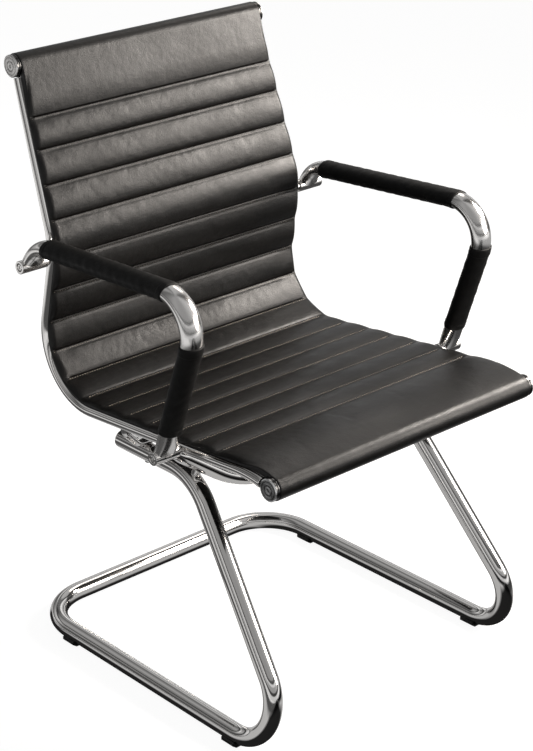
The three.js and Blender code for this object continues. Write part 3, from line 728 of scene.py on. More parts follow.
def lay_profile():
    rows = []
    state = {"start": 0.0, "y": drawn_front_y, "z": drawn_front_z, "heading": radians(front_rise_angle)}

    def run(length):
        rows.append((state["start"], state["y"], state["z"], state["heading"], 0.0))
        state["y"] += length * cos(state["heading"])
        state["z"] += length * sin(state["heading"])
        state["start"] += length

    def bend(radius, to_heading):
        turn = to_heading - state["heading"]
        curve = np.sign(turn) / radius
        rows.append((state["start"], state["y"], state["z"], state["heading"], curve))
        state["y"] += (sin(to_heading) - sin(state["heading"])) / curve
        state["z"] -= (cos(to_heading) - cos(state["heading"])) / curve
        state["start"] += radius * abs(turn)
        state["heading"] = to_heading

    bend(front_arch_radius, -radians(seat_slope_angle))
    run(seat_straight)
    bend(seat_bend_radius, pi / 2 + radians(lower_back_angle))
    run(lower_back_straight)
    bend(lumbar_radius, pi / 2 - radians(back_lean_angle))
    run(upper_back_straight)
    return np.array(rows), state["start"]


profile_rows, profile_length = lay_profile()


def profile_at(place):
    place = np.asarray(place, float)
    index = np.searchsorted(profile_rows[:, 0], place, side="right") - 1
    start, y, z, heading, curve = profile_rows[np.clip(index, 0, None)].T
    along = place - start
    now = heading + curve * along
    bent = curve != 0
    safe = np.where(bent, curve, 1)
    y_now = y + np.where(bent, (np.sin(now) - np.sin(heading)) / safe, along * np.cos(now))
    z_now = z - np.where(bent, (np.cos(now) - np.cos(heading)) / safe, -along * np.sin(now))
    return y_now, z_now, now


def rail_half(place):
    share = np.clip(np.asarray(place, float) / profile_length, 0, None)
    return rail_front_half - rail_top_draw * share**rail_draw_power


fine_places = np.linspace(0, profile_length, 4001)
fine_y, fine_z, fine_heading = profile_at(fine_places)
seat_side = fine_heading < pi / 4


def seat_place(y):
    return float(np.interp(y, fine_y[seat_side], fine_places[seat_side]))


def back_place(z):
    return float(np.interp(z, fine_z[~seat_side], fine_places[~seat_side]))


print("rail profile:", round(profile_length, 1), "mm long")

# %% [markdown]
# A rail is a chrome bar bent to that profile. Its stations lie evenly along it. It ends square,
# just short of each leather roll.

# %% Side rails
roll_radius = 17.5
seat_gap = 0.3
rail_step = 9


def rail_points(places):
    y, z, heading = profile_at(places)
    half = rail_half(places)
    nudge = 0.5
    draw = (rail_half(places + nudge) - rail_half(places - nudge)) / (2 * nudge)
    ways = np.stack([draw, np.cos(heading), np.sin(heading)], -1)
    return np.stack([half, y, z], -1), ways / np.linalg.norm(ways, axis=1, keepdims=True)


rail_end = roll_radius + seat_gap
rail_places = np.linspace(rail_end, profile_length - rail_end, int(profile_length / rail_step))
rail_shape = loft(carried_rings(*rail_points(rail_places), rail_radius, 40, end_bevel))
both_hands("side_rail", rail_shape, bright_chrome, "chrome")

# %% [markdown]
# The end caps are turned pieces, so each is one outline spun round the cross tube's axis. The
# outline has a groove behind the rim, two rings sunk in the face and a dimple in its middle.
# Each point also stores its distance from the axis, its depth behind the face and how much
# painted light its face gets, and the finish reads all three.

# %% End caps
cross_tube_radius = 12.5
cross_tube_wall = 1.5
cap_radius = 16.5
cap_thickness = 7.5
cap_front_face = 255.8
cap_top_face = 235.2
cap_spigot = 14
cap_spigot_radius = cross_tube_radius - cross_tube_wall - seat_gap
cap_groove = (2.2, 3.4)
cap_groove_radius = cap_radius - 0.7
cap_sunk_rings = ((13.2, 12.9, 12.1, 11.8, 0.5), (7.8, 7.5, 6.3, 6, 0.8))
cap_dimple = (2.6, 2.2, 0.8)
# The top caps get painted light on their faces.
top_cap_painted_lightness = 0.6
top_y, top_z, _ = (float(v) for v in profile_at(profile_length))

cap_outline = [
    (-cap_spigot, 0),
    (-cap_spigot, cap_spigot_radius),
    (0, cap_spigot_radius),
    (0, cap_radius),
    (cap_groove[0], cap_radius),
    (cap_groove[0], cap_groove_radius),
    (cap_groove[1], cap_groove_radius),
    (cap_groove[1], cap_radius),
    (cap_thickness - 0.9, cap_radius),
    (cap_thickness, cap_radius - 1.5),
]
for outer, outer_floor, inner_floor, inner, sunk in cap_sunk_rings:
    cap_outline.append((cap_thickness, outer))
    cap_outline.append((cap_thickness - sunk, outer_floor))
    cap_outline.append((cap_thickness - sunk, inner_floor))
    cap_outline.append((cap_thickness, inner))
cap_outline.append((cap_thickness, cap_dimple[0]))
cap_outline.append((cap_thickness - cap_dimple[2], cap_dimple[1]))
cap_outline.append((cap_thickness - cap_dimple[2], 0))


def store_turning(face, axis_y, axis_z, painted_lightness):
    centre = to_frame(vec(face, axis_y, axis_z))

    def store(mesh):
        places = [v.co for v in mesh.vertices]
        store_values(mesh, "turn_radius", [hypot(p.y - centre[1], p.z - centre[2]) for p in places])
        store_values(mesh, "turn_depth", [centre[0] - abs(p.x) for p in places])
        store_values(mesh, "turn_painted_light", [painted_lightness] * len(places))

    return store


for kind, face, axis_y, axis_z, painted_lightness in (
    ("front_cap", cap_front_face, drawn_front_y, drawn_front_z, 0.0),
    ("top_cap", cap_top_face, top_y, top_z, top_cap_painted_lightness),
):
    origin = (face - cap_thickness, axis_y, axis_z)
    cap_shape = turned(rounded(cap_outline, 0.3), origin, (1, 0, 0), 96)
    store = store_turning(face, axis_y, axis_z, painted_lightness)
    both_hands(kind, cap_shape, satin_cap, "satin_cap", store)

# %% [markdown]
# The sling is one leather panel, sewn across into ribs over thin foam, and wrapped round a tube
# at each end. Its skin is a grid: rows run across the chair at places along the profile, and
# the rows go round the top roll, back along the underside and round the front roll. Between two
# ribs lie a sharp crease and a flat lip with the stitches. The lip is behind the crease on the
# seat and below it on the back. The seat's ribs are lower, and all round down to the sides.

# %% Sling sizes
seam_level = 12.5
rib_crown_level = 17.2
under_level = 8.6
edge_level = 10.9
sling_overhang = 4
sling_corner = (22, 64)
rib_count = 15
first_seam = 108
rib_pitch = 51.1
rib_power = 2.0
rib_lean = 0.88
seat_crown = 0.75
seam_crease = 1.3
seam_crease_depth = 1.1
seam_crease_width = 0.8
seam_lip = 3.2
seam_close = 2.6
seat_seams = 7
back_stitch = -2.9
seat_stitch = 1.7
seat_margin = 24
back_margin = 7
seat_inset = 17
back_inset = 4
band_ease = 30
roll_fade = (12, 84)
edge_fade = (0, 8)
crease_end_fade = (-3, 3)
front_roll_half = cap_front_face - cap_thickness - seat_gap
top_roll_half = cap_top_face - cap_thickness - seat_gap
seam_drift = np.interp(np.arange(rib_count + 1), (0, 6, 9, 14, 15), (1, 2, 4, 3.5, -0.5))
seams = first_seam + rib_pitch * np.arange(rib_count + 1) + seam_drift
last_seam = float(seams[-1])
bend_seams = (seams[6], seams[8])
on_seat = np.arange(rib_count + 1) < seat_seams
creases = seams + np.where(on_seat, -seam_crease, seam_crease)
stitch_places = creases + np.where(on_seat, seat_stitch, back_stitch)
flat_after = np.where(on_seat, seam_lip, seam_close)
flat_before = np.where(on_seat, seam_close, seam_lip)


def ease(value, low, high):
    share = np.clip((np.asarray(value, float) - low) / (high - low), 0, 1)
    return share * share * (3 - 2 * share)


def sling_half(place):
    rail_side = rail_half(place) + sling_overhang
    from_end = np.minimum(place, profile_length - place)
    roll_side = np.where(from_end == place, front_roll_half, top_roll_half)
    return roll_side + (rail_side - roll_side) * ease(from_end, *sling_corner)


def rib_crown(place):
    nearest = np.clip(np.searchsorted(seams, place, side="right") - 1, 0, rib_count - 1)
    width = seams[nearest + 1] - seams[nearest]
    clear = width - flat_after[nearest] - flat_before[nearest + 1]
    share = np.clip((place - seams[nearest] - flat_after[nearest]) / clear, 0, 1) ** rib_lean
    height = np.where(nearest < seat_seams - 1, seat_crown, 1)
    inside = (1 - np.abs(2 * share - 1) ** rib_power) * height
    before = 1 - (1 - np.clip((seams[0] - flat_before[0] - place) / band_ease, 0, 1)) ** rib_power
    after = 1 - (1 - np.clip((place - last_seam - flat_after[-1]) / band_ease, 0, 1)) ** rib_power
    return np.where(place < seams[0], before, np.where(place > last_seam, after, inside))


def crease_drop(place):
    distance = np.min(np.abs(place[..., None] - creases), axis=-1)
    return seam_crease_depth * np.exp(-((distance / seam_crease_width) ** 2))


def seam_inset(place):
    return seat_inset + (back_inset - seat_inset) * ease(place, *bend_seams)


def top_level(place, inset, creased=True):
    place, inset = np.broadcast_arrays(np.asarray(place, float), np.asarray(inset, float))
    margin_rise = seat_margin + (back_margin - seat_margin) * ease(place, *bend_seams)
    roll_share = 1 - ease(np.minimum(place, profile_length - place), *roll_fade)
    margin = edge_level + (seam_level - edge_level) * ease(inset, *edge_fade)
    inward = np.clip(inset / margin_rise, 0, 1)
    rise = np.maximum(np.sqrt(inward * (2 - inward)), roll_share)
    sewn = ease(inset - seam_inset(place), *crease_end_fade)
    level = margin + (seam_level - margin) * roll_share
    crown = rib_crown_level + (roll_radius - rib_crown_level) * roll_share
    level = level + (crown - seam_level) * rib_crown(place) * rise
    return level - crease_drop(place) * sewn * creased


head_room = round(profile_length - last_seam, 1)
print("sling:", rib_count, "ribs, last seam", head_room, "mm before the top tube")

# %% Sling rows and columns
near_seam = np.array((
    -10, -8, -6.4, -5.2, -4.2, -3.4, -2.7, -2.1, -1.6, -1.2, -0.8, -0.4,
    0, 0.5, 1.1, 1.8, 2.6, 3.6, 5, 7, 9.5,
))
near_seam_shift = 1.2
front_band_rows = 26
head_band_rows = 18
rib_middle = np.linspace(0.26, 0.76, 8)
edge_insets = (0, 0.25, 0.6, 1.1, 1.8, 3, 4.5, 6, 8, 10, 12, 14, 16, 18, 20, 22, 24.5, 27)
column_step = 4.2
edge_round = 1.6

front_band = np.linspace(0, seams[0] - 11, front_band_rows)
head_band = np.linspace(last_seam + 12, profile_length, head_band_rows)
rib_rows = (seams[:-1, None] + rib_pitch * rib_middle[None, :]).ravel()
seam_side = np.where(on_seat, -1, 1)[:, None]
seam_rows = (creases[:, None] + seam_side * (near_seam[None, :] + near_seam_shift)).ravel()
top_places = np.unique(np.concatenate([front_band, head_band, rib_rows, seam_rows]).round(4))
inner_columns = int(2 * (rail_front_half - edge_insets[-1]) / column_step)


def row_insets_and_x(half):
    inner = np.linspace(-1, 1, inner_columns + 2)[1:-1]
    left = -half[:, None] + np.array(edge_insets)[None, :]
    middle_x = (half[:, None] - edge_insets[-1]) * inner[None, :]
    x = np.concatenate([left, middle_x, -left[:, ::-1]], axis=1)
    return half[:, None] - np.abs(x), x


def edge_fall(inset):
    inside = np.clip(edge_round - inset, 0, edge_round)
    return edge_round - np.sqrt(edge_round**2 - inside**2)


def lifted(place, level, x):
    y, z, heading = (value[:, None] for value in profile_at(place))
    return np.stack([x, y - level * np.sin(heading), z + level * np.cos(heading)], -1)


def top_sheet(lift=None):
    half = sling_half(top_places)
    inset, x = row_insets_and_x(half)
    place = np.repeat(top_places[:, None], x.shape[1], axis=1)
    level = top_level(place, inset) - edge_fall(inset)
    if lift is not None:
        level = level + lift(place, x)
    return lifted(top_places, level, x)


def roll_rows(place, half, from_angle, to_angle, steps):
    y, z, heading = (float(v) for v in profile_at(place))
    inset, x = row_insets_and_x(np.full(steps, half))
    angle = np.linspace(from_angle, to_angle, steps + 2)[1:-1, None] + heading
    radius = roll_radius - edge_fall(inset)
    return np.stack([x, y + radius * np.cos(angle), z + radius * np.sin(angle)], -1)


def under_rows(start, end, steps):
    place = np.linspace(start, end, steps)
    _, x = row_insets_and_x(sling_half(place))
    return lifted(place, under_level + 0 * x, x)


meeting = sqrt(roll_radius**2 - under_level**2)
meeting_angle = atan2(under_level, meeting)
roll_steps = 64
under_steps = 90

# %% Sling skin
bore_radius = cross_tube_radius + seat_gap
bore_sides = 48
bore_clearance = 0.99
flat_room = 1e-7


def bore_rim(axis_y, axis_z):
    angle = np.linspace(0, 2 * pi, bore_sides, endpoint=False)
    return axis_y + bore_radius * np.cos(angle), axis_z + bore_radius * np.sin(angle)


def side_faces(loop_points, loop_index, axes, first_bore_index):
    flat = [Vector((p[1], p[2])) for p in loop_points]
    edges = [(i, (i + 1) % len(flat)) for i in range(len(flat))]
    index = list(loop_index)
    start = len(flat)
    for axis in axes:
        flat += [Vector(point) for point in zip(*bore_rim(*axis))]
        edges += [(start + i, start + (i + 1) % bore_sides) for i in range(bore_sides)]
        start += bore_sides
    index += list(range(first_bore_index, first_bore_index + len(axes) * bore_sides))
    made, _, triangles, _, _, _ = delaunay_2d_cdt(flat, edges, [], 1, flat_room)
    kept = []
    for triangle in triangles:
        centre = sum((made[corner] for corner in triangle), Vector((0, 0))) / 3
        if all(hypot(centre.x - y, centre.y - z) > bore_radius * bore_clearance for y, z in axes):
            kept.append([index[corner] for corner in triangle])
    return kept


def sling_shape(lift=None):
    sheet = top_sheet(lift)
    top_roll = roll_rows(profile_length, top_roll_half, pi / 2, -pi - meeting_angle, roll_steps)
    under = under_rows(profile_length - meeting, meeting, under_steps)
    front_roll = roll_rows(0, front_roll_half, 2 * pi + meeting_angle, pi / 2, roll_steps)
    rows = np.concatenate([sheet, top_roll, under, front_roll])
    count, columns, _ = rows.shape
    index = np.arange(count * columns).reshape(count, columns)
    following = np.roll(index, -1, 0)
    quads = np.stack([index[:, :-1], index[:, 1:], following[:, 1:], following[:, :-1]], -1)
    faces = quads.reshape(-1, 4).tolist()
    points = [rows.reshape(-1, 3)]
    axes = [(drawn_front_y, drawn_front_z), (top_y, top_z)]
    first = count * columns
    bores = []
    for column in (0, columns - 1):
        side = rows[:, column]
        faces += side_faces(side, index[:, column], axes, first)
        for axis, half in zip(axes, (front_roll_half, top_roll_half)):
            x = np.full(bore_sides, -half if column == 0 else half)
            points.append(np.stack([x, *bore_rim(*axis)], -1))
        bores.append(first)
        first += 2 * bore_sides
    for number in range(2 * bore_sides):
        around = number - number % bore_sides + (number + 1) % bore_sides
        faces.append([bores[0] + number, bores[0] + around, bores[1] + around, bores[1] + number])
    return np.concatenate(points), faces


# %% [markdown]
# The ribs are padding, so the leather over them is swollen by a cloth simulation. A coarse sheet
# is pinned along the seams and the sides, grows a little, and is pushed out by pressure. How far
# each point moved is then added to the fine skin as a lift. It is calmed at the creases, the
# sides and the rolls, and is weak on the head band.

# %% Swollen ribs
swell_frames = 16
swell_columns = 107
swell_rows = 10
swell_pressure = 4.0
swell_growth = 0.001
swell_quality = 6
swell_mass = 0.12
swell_cap = 1.6
band_swell = 0.25
band_steps = 20
sewn_room = 0.5
crease_calm = (1.5, 7)
end_calm = (4, 30)
side_calm = (12, 45)
shade_reach = 1.3
shade_end = 4


def swell_places():
    first = np.linspace(0, seams[0], band_steps, endpoint=False)
    ribs = np.interp(np.arange(rib_count * swell_rows) / swell_rows, np.arange(rib_count + 1), seams)
    return np.concatenate([first, ribs, np.linspace(last_seam, profile_length, band_steps)])


def swell():
    places = swell_places()
    shares = np.linspace(-1, 1, swell_columns)
    half = sling_half(places)[:, None]
    x = half * shares[None, :]
    level = top_level(np.repeat(places[:, None], swell_columns, 1), half - np.abs(x), False)
    start = to_frame(lifted(places, level, x).reshape(-1, 3))
    index = np.arange(start.shape[0]).reshape(x.shape)
    quads = np.stack([index[:-1, :-1], index[:-1, 1:], index[1:, 1:], index[1:, :-1]], -1).reshape(-1, 4)
    mesh = bpy.data.meshes.new("sewn_sheet")
    mesh.from_pydata(start.tolist(), [], quads.tolist())
    sheet = bpy.data.objects.new("sewn_sheet", mesh)
    scene.collection.objects.link(sheet)
    sewn_rows = np.min(np.abs(places[:, None] - seams), axis=1) < sewn_room
    sewn_rows[[0, -1]] = True
    held = np.repeat(sewn_rows[:, None], swell_columns, 1)
    held[:, [0, 1, 2, -3, -2, -1]] = True
    pins = sheet.vertex_groups.new(name="sewn")
    pins.add(index[held].tolist(), 1.0, "REPLACE")
    cloth = sheet.modifiers.new("swell", "CLOTH")
    cloth.settings.quality = swell_quality
    cloth.settings.mass = swell_mass
    cloth.settings.vertex_group_mass = "sewn"
    cloth.settings.use_pressure = True
    cloth.settings.uniform_pressure_force = swell_pressure
    cloth.settings.shrink_min = -swell_growth
    cloth.settings.effector_weights.gravity = 0
    cloth.collision_settings.use_collision = False
    cloth.collision_settings.use_self_collision = False
    cloth.point_cache.frame_end = swell_frames
    for number in range(1, swell_frames + 1):
        scene.frame_set(number)
    swollen = plain_result(sheet)
    moved = np.empty(3 * len(swollen.vertices))
    swollen.vertices.foreach_get("co", moved)
    moved = (moved.reshape(start.shape) - start) / MM
    scene.frame_set(1)
    bpy.data.objects.remove(sheet)
    _, _, heading = profile_at(places)
    outward = np.stack([0 * heading, -np.sin(heading), np.cos(heading)], -1)[:, None, :]
    risen = (moved.reshape(*x.shape, 3) * outward).sum(-1)
    print("swollen ribs: from", risen.min().round(2), "to", risen.max().round(2), "mm")
    return places, np.clip(risen, -swell_cap, swell_cap)


def plain_result(carrier):
    graph = bpy.context.evaluated_depsgraph_get()
    return bpy.data.meshes.new_from_object(carrier.evaluated_get(graph))


def sampled(places, risen):
    def lift(place, x):
        row = np.interp(place, places, np.arange(len(places)))
        share = np.clip(x / sling_half(place), -1, 1)
        column = (share + 1) / 2 * (swell_columns - 1)
        low_row = np.minimum(row.astype(int), len(places) - 2)
        low_column = np.minimum(column.astype(int), swell_columns - 2)
        a, b = row - low_row, column - low_column
        near = risen[low_row, low_column] * (1 - b) + risen[low_row, low_column + 1] * b
        far = risen[low_row + 1, low_column] * (1 - b) + risen[low_row + 1, low_column + 1] * b
        from_seam = np.min(np.abs(place[..., None] - creases), axis=-1)
        from_end = np.minimum(place, profile_length - place)
        from_side = sling_half(place) - np.abs(x)
        calm = ease(from_seam, *crease_calm) * ease(from_end, *end_calm) * ease(from_side, *side_calm)
        return (near * (1 - a) + far * a) * calm * np.where(place > last_seam, band_swell, 1)

    return lift


# Stores each seam's painted shade: near 1 down in the crease, fading out to the sides.
def store_seam_painted_shade(mesh):
    y, z, heading = profile_at(creases)
    low = seam_level - seam_crease_depth / 2
    centres = to_frame(np.stack([0 * y, y - low * np.sin(heading), z + low * np.cos(heading)], -1))
    reach = (sling_half(seams) - seam_inset(seams)) * MM
    places = np.empty(3 * len(mesh.vertices))
    mesh.vertices.foreach_get("co", places)
    x, y, z = places.reshape(-1, 3).T
    depth = 0 * x
    for centre, half in zip(centres, reach):
        away = np.hypot(y - centre[1], z - centre[2]) / (shade_reach * MM)
        depth = np.maximum(depth, np.exp(-(away**2)) * ease(half - np.abs(x), 0, shade_end * MM))
    store_values(mesh, "seam_painted_shade", depth)


rib_lift = sampled(*swell())
sling_mesh = make_mesh("sling_leather", sling_shape(rib_lift), 50)
store_seam_painted_shade(sling_mesh)
sling = add_piece("sling_leather", sling_mesh, sling_leather, "sling_leather", "sling_pad")
print("sling skin:", len(sling_mesh.polygons), "faces")

# %% [markdown]
# The stitches follow the creases, on the flat lip beside each. A Geometry Nodes tree takes
# their lines, spaces points along them, and sets a short bent stitch at each, turned along the
# line and up from the leather.

# %% Stitches
stitch_pitch = 4.6
stitch_length = 3.0
stitch_radius = 0.45
stitch_drop = 0.34
stitch_girths = (0.55, 0.95, 1.0, 0.95, 0.55)
stitch_sides = 6
line_points = 60


def seam_line_mesh():
    points, edges, normals = [], [], []
    for stitch_place in stitch_places:
        place = np.array([stitch_place])
        half = float((sling_half(place) - seam_inset(place))[0])
        x = np.linspace(-half, half, line_points)[None, :]
        same_place = np.repeat(place[:, None], line_points, 1)
        level = top_level(same_place, sling_half(place)[:, None] - np.abs(x))
        if rib_lift is not None:
            level = level + rib_lift(same_place, x)
        line = lifted(place, level, x)[0]
        _, _, heading = profile_at(place)
        edges += [(len(points) + i, len(points) + i + 1) for i in range(len(line) - 1)]
        points += list(line)
        normals += [(0.0, -sin(heading[0]), cos(heading[0]))] * len(line)
    mesh = bpy.data.meshes.new("seam_lines")
    mesh.from_pydata(to_frame(points).tolist(), edges, [])
    layer = mesh.attributes.new("lean", "FLOAT_VECTOR", "POINT")
    layer.data.foreach_set("vector", np.array(normals).ravel())
    return mesh


def stitch_mesh():
    along = np.linspace(-stitch_length / 2, stitch_length / 2, len(stitch_girths))
    drop = stitch_drop * (2 * along / stitch_length) ** 2
    girth = stitch_radius * np.array(stitch_girths)
    across, up = vec(1, 0, 0), vec(0, 1, 0)
    stations = zip(along, drop, girth)
    rings = [cross_ring(vec(0, -d, a), across, up, g, g, stitch_sides) for a, d, g in stations]
    points, faces = loft(rings)
    mesh = bpy.data.meshes.new("one_stitch")
    mesh.from_pydata((points * MM).tolist(), [], faces)
    mesh.shade_smooth()
    return mesh


def stitch_tree():
    group = bpy.data.node_groups.new("stitch_rows", "GeometryNodeTree")
    kinds = {"Lines": "Geometry", "Pitch": "Float", "Stitch": "Object", "Thread": "Material"}
    for label, kind in kinds.items():
        group.interface.new_socket(label, in_out="INPUT", socket_type=f"NodeSocket{kind}")
    group.interface.new_socket("Stitches", in_out="OUTPUT", socket_type="NodeSocketGeometry")
    taken = group.nodes.new("NodeGroupInput").outputs
    given = group.nodes.new("NodeGroupOutput").inputs
    curves = add_node(group, "GeometryNodeMeshToCurve", {"Mesh": taken["Lines"]}).outputs["Curve"]
    spacing = {"Curve": curves, "Length": taken["Pitch"]}
    even = add_node(group, "GeometryNodeResampleCurve", spacing, mode="LENGTH").outputs["Curve"]
    lean = add_node(group, "GeometryNodeInputNamedAttribute", {"Name": "lean"}, data_type="FLOAT_VECTOR")
    tangent = add_node(group, "GeometryNodeInputTangent").outputs["Tangent"]
    align = "FunctionNodeAlignRotationToVector"
    along = add_node(group, align, {"Vector": tangent}, axis="Z").outputs[0]
    upward = {"Rotation": along, "Vector": lean.outputs["Attribute"]}
    turned_up = add_node(group, align, upward, axis="Y", pivot_axis="Z").outputs[0]
    shape = add_node(group, "GeometryNodeObjectInfo", {"Object": taken["Stitch"]}).outputs["Geometry"]
    laying = {"Points": even, "Instance": shape, "Rotation": turned_up}
    laid = add_node(group, "GeometryNodeInstanceOnPoints", laying).outputs["Instances"]
    real = add_node(group, "GeometryNodeRealizeInstances", {"Geometry": laid}).outputs["Geometry"]
    dyed = add_node(group, "GeometryNodeSetMaterial", {"Geometry": real, "Material": taken["Thread"]})
    group.links.new(dyed.outputs["Geometry"], given["Stitches"])
    return group


def sew():
    one = bpy.data.objects.new("one_stitch", stitch_mesh())
    carrier = bpy.data.objects.new("seam_lines", seam_line_mesh())
    for helper in (one, carrier):
        scene.collection.objects.link(helper)
    group = stitch_tree()
    modifier = carrier.modifiers.new("stitch_rows", "NODES")
    modifier.node_group = group
    sockets = {s.name: s.identifier for s in group.interface.items_tree if s.in_out == "INPUT"}
    modifier[sockets["Pitch"]] = stitch_pitch * MM
    modifier[sockets["Stitch"]] = one
    modifier[sockets["Thread"]] = sewing_thread
    mesh = plain_result(carrier)
    for helper in (one, carrier):
        bpy.data.objects.remove(helper)
    return mesh


stitch_rows = sew()
add_piece("sling_stitches", stitch_rows, None, "sling_leather")
print("stitches:", len(stitch_rows.polygons), "faces")

# %% [markdown]
# A loop arm is an oval bar bent over the side. Its ends widen and flatten into short T tubes,
# through which a bolt holds the arm to the rail. The arm and its T's are drawn as closed skins
# that run into each other, as welded and polished pieces do.

# %% Arms
arm_half_width = 17.6
arm_half_thick = 12.1
arm_front_half = 281
arm_rear_half = 269.5
arm_front_corner = (-116, 677.5)
arm_rear_corner = (256, 654)
arm_front_radius = 54
arm_rear_radius = 47
tee_radius = 9.8
tee_front = (-31.5, 430.2)
tee_rear = (271, 622)
tee_front_length = 42.5
tee_rear_length = 46
tee_flare = 34
tee_neck_thick = 8.6
tee_lip = 1.2
tee_round = 0.8
arm_sides = 56
flare_rings = 12
tee_bore_radius = 6
tee_bore_depth = 3
washer_radius = 7.6
washer_thickness = 4

seat_tee_place = seat_place(tee_front[0])
back_tee_place = back_place(tee_rear[1])
tee_front_inner = float(rail_half(seat_tee_place)) + rail_radius + washer_thickness + 2 * seat_gap
tee_rear_inner = float(rail_half(back_tee_place)) + rail_radius + washer_thickness + 2 * seat_gap
tee_front_face = tee_front_inner + tee_front_length
tee_rear_face = tee_rear_inner + tee_rear_length

arm_corners = [
    vec((tee_front_face + tee_front_inner) / 2, *tee_front),
    vec(arm_front_half, *arm_front_corner),
    vec(arm_rear_half, *arm_rear_corner),
    vec((tee_rear_face + tee_rear_inner) / 2, *tee_rear),
]
arm_points, arm_ways = bent_path(arm_corners, [arm_front_radius, arm_rear_radius])


def oval_frame(way):
    across = unit(vec(1, 0, 0) - way * way[0])
    return across, np.cross(way, across)


def arm_ring(point, way, distance, tee_half):
    share = (1 - min(distance / tee_flare, 1)) ** 2
    width = arm_half_width + (tee_half - tee_lip - arm_half_width) * share
    thick = arm_half_thick + (tee_neck_thick - arm_half_thick) * share
    return cross_ring(point, *oval_frame(way), width, thick, arm_sides)


def arm_shape():
    front_half = (tee_front_face - tee_front_inner) / 2
    rear_half = (tee_rear_face - tee_rear_inner) / 2
    rings = []
    for distance in np.linspace(0, tee_flare, flare_rings):
        point = arm_points[0] + arm_ways[0] * distance
        rings.append(arm_ring(point, arm_ways[0], distance, front_half))
    for point, way in zip(arm_points[1:-1], arm_ways[1:-1]):
        rings.append(arm_ring(point, way, np.linalg.norm(point - arm_points[-1]), rear_half))
    left = np.linalg.norm(arm_points[-1] - arm_points[-2])
    for distance in np.linspace(left, 0, flare_rings)[1:]:
        point = arm_points[-1] - arm_ways[-1] * distance
        rings.append(arm_ring(point, arm_ways[-1], distance, rear_half))
    tees = [
        tee_shape(tee_front_inner, tee_front_face, tee_front),
        tee_shape(tee_rear_inner, tee_rear_face, tee_rear),
    ]
    return joined(loft(rings), *tees)


def tee_shape(inner, face, axis):
    length = face - inner
    outline = [
        (0, 0),
        (0, tee_radius),
        (length, tee_radius),
        (length, tee_bore_radius),
        (length - tee_bore_depth, tee_bore_radius),
        (length - tee_bore_depth, 0),
    ]
    return turned(rounded(outline, tee_round), (inner, *axis), (1, 0, 0), 64)


both_hands("arm_frame", arm_shape(), arm_chrome, "chrome")

# %% Arm washers and bolts
bolt_head_radius = 5.7
bolt_head_height = 2.2
bolt_socket_radius = 2.2
bolt_socket_floor = bolt_head_height - 1.3
washer_outline = [(0, 0), (0, washer_radius), (washer_thickness, washer_radius), (washer_thickness, 0)]
bolt_outline = [
    (0, 0),
    (0, bolt_head_radius),
    (bolt_head_height * 0.55, bolt_head_radius),
    (bolt_head_height, bolt_head_radius * 0.72),
    (bolt_head_height, bolt_socket_radius),
    (bolt_socket_floor, bolt_socket_radius),
    (bolt_socket_floor, 0),
]
for kind, tee_place, axis, face in (
    ("front", seat_tee_place, tee_front, tee_front_face),
    ("rear", back_tee_place, tee_rear, tee_rear_face),
):
    start = float(rail_half(tee_place)) + rail_radius + seat_gap
    shape = turned(rounded(washer_outline, 0.5), (start, *axis), (1, 0, 0), 56)
    both_hands(f"{kind}_arm_washer", shape, bright_chrome, "chrome")
    seat = face - tee_bore_depth + seat_gap
    shape = turned(rounded(bolt_outline, 0.4), (seat, *axis), (1, 0, 0), 48)
    both_hands(f"{kind}_arm_bolt", shape, bright_chrome, "chrome")

# %% [markdown]
# The sleeves are black leather sewn tight over the arms. Each is a thin oval tube whose skin
# swells a little where the hem is folded under. A soft wave in its girth keeps it from looking
# like paint on the bar.

# %% Sleeves
sleeve_thickness = 1.1
top_sleeve_y = (-47, 229)
front_sleeve_z = (470.5, 611.5)
sleeve_step = 2.2
sleeve_sides = 64
hem_height = 0.5
hem_step = 0.6
fold_height = 0.3
fold_calm = (4, 30)
gather_height = 0.2
gather_count = 9
gather_reach = 22
hem_rows = np.linspace(-0.9, 0.9, 7)
close_rows = np.array([0, 0.3, 0.7, 1.2])
arm_lengths = np.concatenate([[0], np.cumsum(np.linalg.norm(np.diff(arm_points, axis=0), axis=1))])


def arm_at(length):
    place, way = (
        vec(*[np.interp(length, arm_lengths, column) for column in table.T])
        for table in (arm_points, arm_ways)
    )
    return place, unit(way)


def crossing(axis, level, which):
    beyond = np.sign(arm_points[:, axis] - level)
    step = np.flatnonzero(beyond[1:] != beyond[:-1])[which]
    low, high = arm_points[step, axis], arm_points[step + 1, axis]
    share = (level - low) / (high - low)
    return arm_lengths[step] + share * (arm_lengths[step + 1] - arm_lengths[step])


def girth_wave(distance, angle, length):
    swing = np.sin(distance * 0.31 + 2.0 * np.sin(angle + 0.6))
    folds = fold_height * swing * np.sin(2 * angle + distance * 0.05)
    calm = ease(distance, *fold_calm) * ease(length - distance, *fold_calm)
    fading = np.exp(-((distance / gather_reach) ** 2))
    gathers = gather_height * np.sin(angle * gather_count + distance * 0.15) * fading
    return folds * (0.35 + 0.65 * calm) + gathers


def sleeve_ring(length, grow):
    place, way = arm_at(length)
    across, up = oval_frame(way)
    angle = np.linspace(0, 2 * pi, sleeve_sides, endpoint=False)[:, None]
    grow = np.reshape(grow, (-1, 1))
    wide, thick = arm_half_width + grow, arm_half_thick + grow
    return place + across * wide * np.cos(angle) + up * thick * np.sin(angle)


